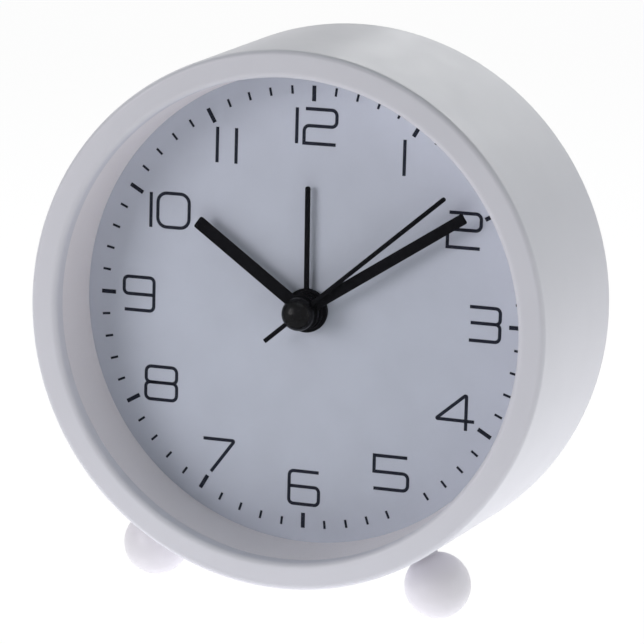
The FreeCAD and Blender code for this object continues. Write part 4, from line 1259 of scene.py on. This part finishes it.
@dataclass
class Knob:
    """Setting knob with straight grooves down its side, on one of the setting shafts.

    Its side is a turned outline, cut back to the grooves: with u the distance round the side from the nearest
    groove's middle, a groove is sqrt(groove^2 - u^2) - groove / 3 deep where that is more than 0.
    """

    name: str
    body: str
    angle: float
    radius: float = 5.5
    place: float = 10.5
    front: float = 33.4
    height: float = 7.6
    edge: float = 0.7
    dish: tuple[float, float] = (3.9, 0.5)
    shaft: float = 1.4
    grooves: int = 24
    groove: float = 0.45
    groove_steps: int = 16
    smooth_foot: float = 1.52
    fade: float = 0.3
    dish_round: float = 0.3
    dish_edge: float = 0.2
    hole_edge: float = 0.1
    guard: float = 0.1

    def middle(self) -> tuple[float, float]:
        """Where its axis crosses the cover, as x and z."""
        return (self.place * float(np.cos(np.radians(self.angle))),
                self.place * float(np.sin(np.radians(self.angle))))

    def outline(self) -> np.ndarray:
        """Half section from the middle of the dish, round the side, to the bottom of the shaft's blind hole.

        Returns:
            Points as distance from the axis, and depth.
        """
        back, hole = self.front + self.height, self.front + self.height / 2
        dish_radius, dish_depth = self.dish
        grooves_end = self.front + self.smooth_foot
        return rounded((Corner(0.0, back - dish_depth),
                        Corner(dish_radius - dish_depth, back - dish_depth, self.dish_round),
                        Corner(dish_radius, back, self.dish_edge),
                        Corner(self.radius, back, self.edge),
                        Corner(self.radius, grooves_end + self.fade),
                        Corner(self.radius, grooves_end),
                        Corner(self.radius, self.front, self.edge / 3),
                        Corner(self.shaft, self.front, self.hole_edge),
                        Corner(self.shaft, hole),
                        Corner(0.0, hole)), False, steps=10, guard=self.guard)

    def build(self) -> None:
        """Turn the outline and cut the grooves into its side."""
        across = self.middle()
        lathe = Lathe((across[0], 0.0, across[1]), around=self.grooves * self.groove_steps)
        surface = lathe.turn(self.outline(), closed=False)
        offset = surface.points[:, (0, 2)] - across
        distance = np.maximum(np.linalg.norm(offset, axis=1), 1e-9)
        spacing = 2 * np.pi / self.grooves
        turn = np.arctan2(offset[:, 1], offset[:, 0]) / spacing
        beside = (turn - np.round(turn)) * spacing * self.radius
        deep = np.sqrt(np.maximum(self.groove ** 2 - beside ** 2, 0.0)) - self.groove / 3
        start = np.clip((surface.points[:, 1] - self.front - self.smooth_foot) / self.fade, 0.0, 1.0)
        limit = self.radius - np.maximum(deep, 0.0) * start
        surface.points[:, (0, 2)] = across + offset * (np.minimum(distance, limit) / distance)[:, None]
        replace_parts(surface.piece(f"{self.name}_grip", self.body, Slot.KNOB), self.name)


@dataclass
class Back(Assembly):
    """Back cover with its moulded marks, battery door, grooved setting knobs and alarm slider."""

    face: float = 33.0
    sunk: float = 0.05
    proud: float = 0.25
    line: float = 0.42
    arrow_radius: float = 7.5
    arrow_sweep: float = 84.0
    arrow_points: int = 25
    barb: float = 1.3
    barb_lean: float = 40.0
    word_height: float = 22.0
    word_middle: float = 10.2
    letter_step: float = 2.2
    symbol_height: float = 17.6
    symbol_middle: float = 11.6
    symbol_radius: float = 1.6
    symbol_points: int = 30
    slider_face: float = 34.8
    slider_middle: float = -2.0
    ridge: float = 0.5
    ridge_half: float = 1.5
    ridge_step: float = 1.4
    knobs: tuple[Knob, ...] = (
        Knob("time_set_knob", "time_setting_set", 140.0),
        Knob("alarm_set_knob", "alarm_setting_set", 40.0),
    )

    def film(self) -> Film:
        """Raised line on the cover's outer face."""
        return Film(self.line, self.face - self.sunk, self.face + self.proud)

    def arrow(self, knob: Knob) -> list[Surface]:
        """Curved arrow round a knob's outer side: an arc, and two barbs that lean back from its end.

        Args:
            knob: The knob.

        Returns:
            The arrow's strokes.
        """
        middle = np.array(knob.middle())
        start = knob.angle - self.arrow_sweep / 2
        angle = np.radians(np.linspace(start, start + self.arrow_sweep, self.arrow_points))
        arc = middle + self.arrow_radius * np.stack((np.cos(angle), np.sin(angle)), -1)
        strokes = [self.film().along(arc)]
        back = np.arctan2(*(arc[-2] - arc[-1])[::-1])
        for lean in (-self.barb_lean, self.barb_lean):
            way = back + np.radians(lean)
            barb = arc[-1] + self.barb * np.array((np.cos(way), np.sin(way)))
            strokes.append(self.film().along(np.stack((arc[-1], barb))))
        return strokes

    def word(self, letters: str, middle: float) -> list[Surface]:
        """Write a word that reads from behind, so that its x runs the other way.

        Args:
            letters: The word.
            middle: Its middle's x.

        Returns:
            Its strokes.
        """
        strokes = []
        for place, letter in enumerate(letters):
            across = (place - (len(letters) - 1) / 2) * self.letter_step
            for path, closed in glyph_paths(LETTERS[letter]):
                mirrored = (path + (across, 0.0)) * (-1.0, 1.0) + (middle, self.word_height)
                strokes.append(self.film().along(mirrored, closed))
        return strokes

    def symbols(self) -> list[Surface]:
        """A small clock face above the time knob, and a bell above the alarm knob.

        Returns:
            Their strokes.
        """
        angle = np.linspace(0, 2 * np.pi, self.symbol_points, endpoint=False)
        ring = self.symbol_radius * np.stack((np.cos(angle), np.sin(angle)), -1)
        clock = np.array((-self.symbol_middle, self.symbol_height))
        bell = np.array((self.symbol_middle, self.symbol_height))
        side = rounded([Corner(*corner) for corner in BELL], False, steps=GLYPH_STEPS)
        rim = np.concatenate((side, side[:1]))
        film = self.film()
        return [film.along(ring + clock, closed=True), film.along(np.array(CLOCK_HANDS) + clock),
                film.along(rim + bell), film.along(np.array(CLAPPER) + bell)]

    def slider_ridges(self) -> Surface:
        """Upright ridges on the slider's cap, for the finger.

        Returns:
            All of them as one surface.
        """
        film = Film(self.ridge, self.slider_face - self.sunk, self.slider_face + self.proud)
        half = np.array(((0.0, -self.ridge_half), (0.0, self.ridge_half)))
        steps = np.arange(-1, 2) * self.ridge_step + self.slider_middle
        return Surface.joined([film.along(half + (step, self.word_height)) for step in steps])

    def build(self) -> None:
        """Make the knobs, the moulded marks and the slider's ridges."""
        for knob in self.knobs:
            knob.build()
        self.slider_ridges().piece("slider_ridges", "alarm_slider", Slot.SWITCH, smooth=False)
        marks = [stroke for knob in self.knobs for stroke in self.arrow(knob)]
        marks += self.word("OFF", -self.word_middle) + self.word("ON", self.word_middle) + self.symbols()
        Surface.joined(marks).piece("cover_marks", "case", Slot.COVER, smooth=False)

    def dress(self) -> None:
        """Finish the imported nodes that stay."""
        PAINTS.dress(Slot.COVER, ("back_cover",))
        PAINTS.dress(Slot.DOOR, ("battery_door",))
        PAINTS.dress(Slot.SWITCH, ("alarm_switch",))
        PAINTS.dress(Slot.SCREW, ("back_cover_screws",))


# Studio

@dataclass(frozen=True)
class Softbox:
    """Square area lamp that faces the clock, placed by its direction and distance from it, in metres."""

    name: str
    azimuth: float
    elevation: float
    distance: float
    side: float
    watts: float
    colour: Colour = (1.0, 1.0, 1.0)

    def build(self, target: np.ndarray) -> None:
        """Make the lamp and point it.

        Args:
            target: The point that it faces, in metres.
        """
        lamp = bpy.data.lights.new(self.name, "AREA")
        lamp.shape = "SQUARE"
        lamp.size = self.side
        lamp.energy = self.watts
        lamp.color = self.colour
        place = bpy.data.objects.new(self.name, lamp)
        bpy.context.scene.collection.objects.link(place)
        aim(place, target, self.azimuth, self.elevation, self.distance)


def aim(thing: bpy.types.Object, target: np.ndarray, azimuth: float, elevation: float, distance: float,
        roll: float = 0.0) -> None:
    """Put a lamp or camera at a distance from a target and point it there.

    Args:
        thing: The lamp or camera.
        target: The point that it faces, in metres.
        azimuth: Its direction from the target, to the right of the front.
        elevation: Its direction above the floor.
        distance: Its distance in metres.
        roll: Turn about its own view.
    """
    around, above = np.radians(azimuth), np.radians(elevation)
    back = np.array((np.sin(around) * np.cos(above), -np.cos(around) * np.cos(above), np.sin(above)))
    thing.location = target + back * distance
    thing.rotation_mode = "XYZ"
    thing.rotation_euler = (np.pi / 2 - above, 0.0, around)
    if roll:
        thing.rotation_euler.rotate_axis("Z", np.radians(roll))


@dataclass
class Studio:
    """Pale floor, soft lamps, even surroundings and the camera."""

    target: Place = (0.00700, -0.01716, 0.05247)
    azimuth: float = 20.19
    elevation: float = 21.12
    roll: float = -0.11
    distance: float = 0.5433
    lens: float = 186.34
    sensor: float = 36.0
    clip_start: float = 0.01
    floor_half: float = 4.0
    floor_squares: int = 8
    floor_colour: Colour = (0.94, 0.94, 0.94)
    floor_lift: float = 0.96
    floor_glow: float = 0.82
    glow_reach: tuple[float, float] = (0.12, 0.34)
    floor_far: tuple[float, float] = (0.3, 1.5)
    surround: Colour = (0.97, 0.98, 1.0)
    surround_strength: float = 0.04
    lamps: tuple[Softbox, ...] = (
        Softbox("key_softbox", -41.0, 17.0, 0.9, 0.42, 2.75, (1.01, 0.995, 1.02)),
        Softbox("right_softbox", 80.0, 10.0, 0.9, 0.45, 1.6),
        Softbox("top_softbox", 0.0, 80.0, 0.9, 0.6, 1.0, (0.84, 1.0, 1.03)),
        Softbox("right_back_softbox", 125.0, 15.0, 0.9, 0.5, 0.85, (0.92, 1.0, 1.03)),
        Softbox("left_back_softbox", -125.0, 30.0, 0.9, 0.5, 1.5),
        Softbox("back_softbox", 180.0, 8.0, 0.9, 0.5, 1.35),
    )

    def build(self) -> None:
        """Make the floor, lamps, surroundings and camera."""
        self.floor()
        self.surroundings()
        for lamp in self.lamps:
            lamp.build(np.array(self.target))
        self.camera()

    def seen(self, shader: Shader) -> Value:
        """Tell the rays that show the background: from the camera, by reflection or through clear pieces.

        Args:
            shader: The nodes to add to.

        Returns:
            1 for such rays, and 0 for the rest.
        """
        kinds = ("Is Camera Ray", "Is Glossy Ray", "Is Transmission Ray")
        rays = [shader.node("ShaderNodeLightPath", {}, {}, kind) for kind in kinds]
        return (rays[0] + rays[1] + rays[2]).step(0.0, 1.0)

    def floor(self) -> None:
        """Make a level floor that looks almost white and keeps the clock's shadow.

        It glows a little near the clock, which lights the lower part of the case.
        """
        line = np.linspace(-self.floor_half, self.floor_half, self.floor_squares + 1)
        across, away = np.meshgrid(line, line)
        grid = np.stack((across, away, np.zeros_like(across)), -1)
        index = np.arange(across.size).reshape(across.shape)
        quads = np.stack((index[:-1, :-1], index[:-1, 1:], index[1:, 1:], index[1:, :-1]), -1).reshape(-1, 4)
        mesh = bpy.data.meshes.new("floor")
        mesh.from_pydata(grid.reshape(-1, 3).tolist(), [], quads.tolist())
        shader = Shader.of_material("floor_paint")
        paint = shader.node("ShaderNodeBsdfDiffuse", {}, {"Color": (*self.floor_colour, 1.0)})
        distance = shader.node("ShaderNodeVectorMath", {"operation": "LENGTH"}, {0: shader.place()}, "Value")
        near = (1 - distance.step(*self.glow_reach)) * self.floor_glow
        glow = shader.node("ShaderNodeEmission", {}, {"Color": (*self.surround, 1.0), "Strength": near})
        lit = shader.node("ShaderNodeAddShader", {}, {0: paint, 1: glow})
        white = shader.node("ShaderNodeEmission", {}, {"Color": (1.0, 1.0, 1.0, 1.0), "Strength": 1.0})
        lift = distance.step(*self.floor_far) * (1 - self.floor_lift) + self.floor_lift
        lifted = shader.node("ShaderNodeMixShader", {}, {0: self.seen(shader) * lift, 1: lit, 2: white})
        mesh.materials.append(shader.finish(lifted))
        floor = bpy.data.objects.new("floor", mesh)
        bpy.context.scene.collection.objects.link(floor)

    def surroundings(self) -> None:
        """Light the clock evenly from all round, and show white where the surroundings are seen."""
        world = bpy.data.worlds.new("surroundings")
        bpy.context.scene.world = world
        shader = Shader(world, "ShaderNodeOutputWorld")
        sockets = {"Color": (*self.surround, 1.0), "Strength": self.surround_strength}
        light = shader.node("ShaderNodeBackground", {}, sockets)
        white = shader.node("ShaderNodeBackground", {}, {"Color": (1.0, 1.0, 1.0, 1.0), "Strength": 1.0})
        shader.finish(shader.node("ShaderNodeMixShader", {}, {0: self.seen(shader), 1: light, 2: white}))

    def camera(self) -> None:
        """Make the camera at the photograph's viewing angle."""
        view = bpy.data.cameras.new("camera")
        view.lens = self.lens
        view.sensor_width = self.sensor
        view.clip_start = self.clip_start
        camera = bpy.data.objects.new("camera", view)
        bpy.context.scene.collection.objects.link(camera)
        aim(camera, np.array(self.target), self.azimuth, self.elevation, self.distance, self.roll)
        bpy.context.scene.camera = camera
        bpy.context.scene.view_settings.view_transform = "Standard"


def main() -> None:
    """Build the clock's looks and the studio."""
    logging.basicConfig(level=logging.INFO, format="%(name)s: %(message)s")
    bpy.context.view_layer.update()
    for part in (Case(), Feet(), Dial(), Hands(), Movement(), Back()):
        part.build()
        part.dress()
        log.info("finished %s", type(part).__name__)
    Studio().build()


if __name__ == "__main__":
    main()
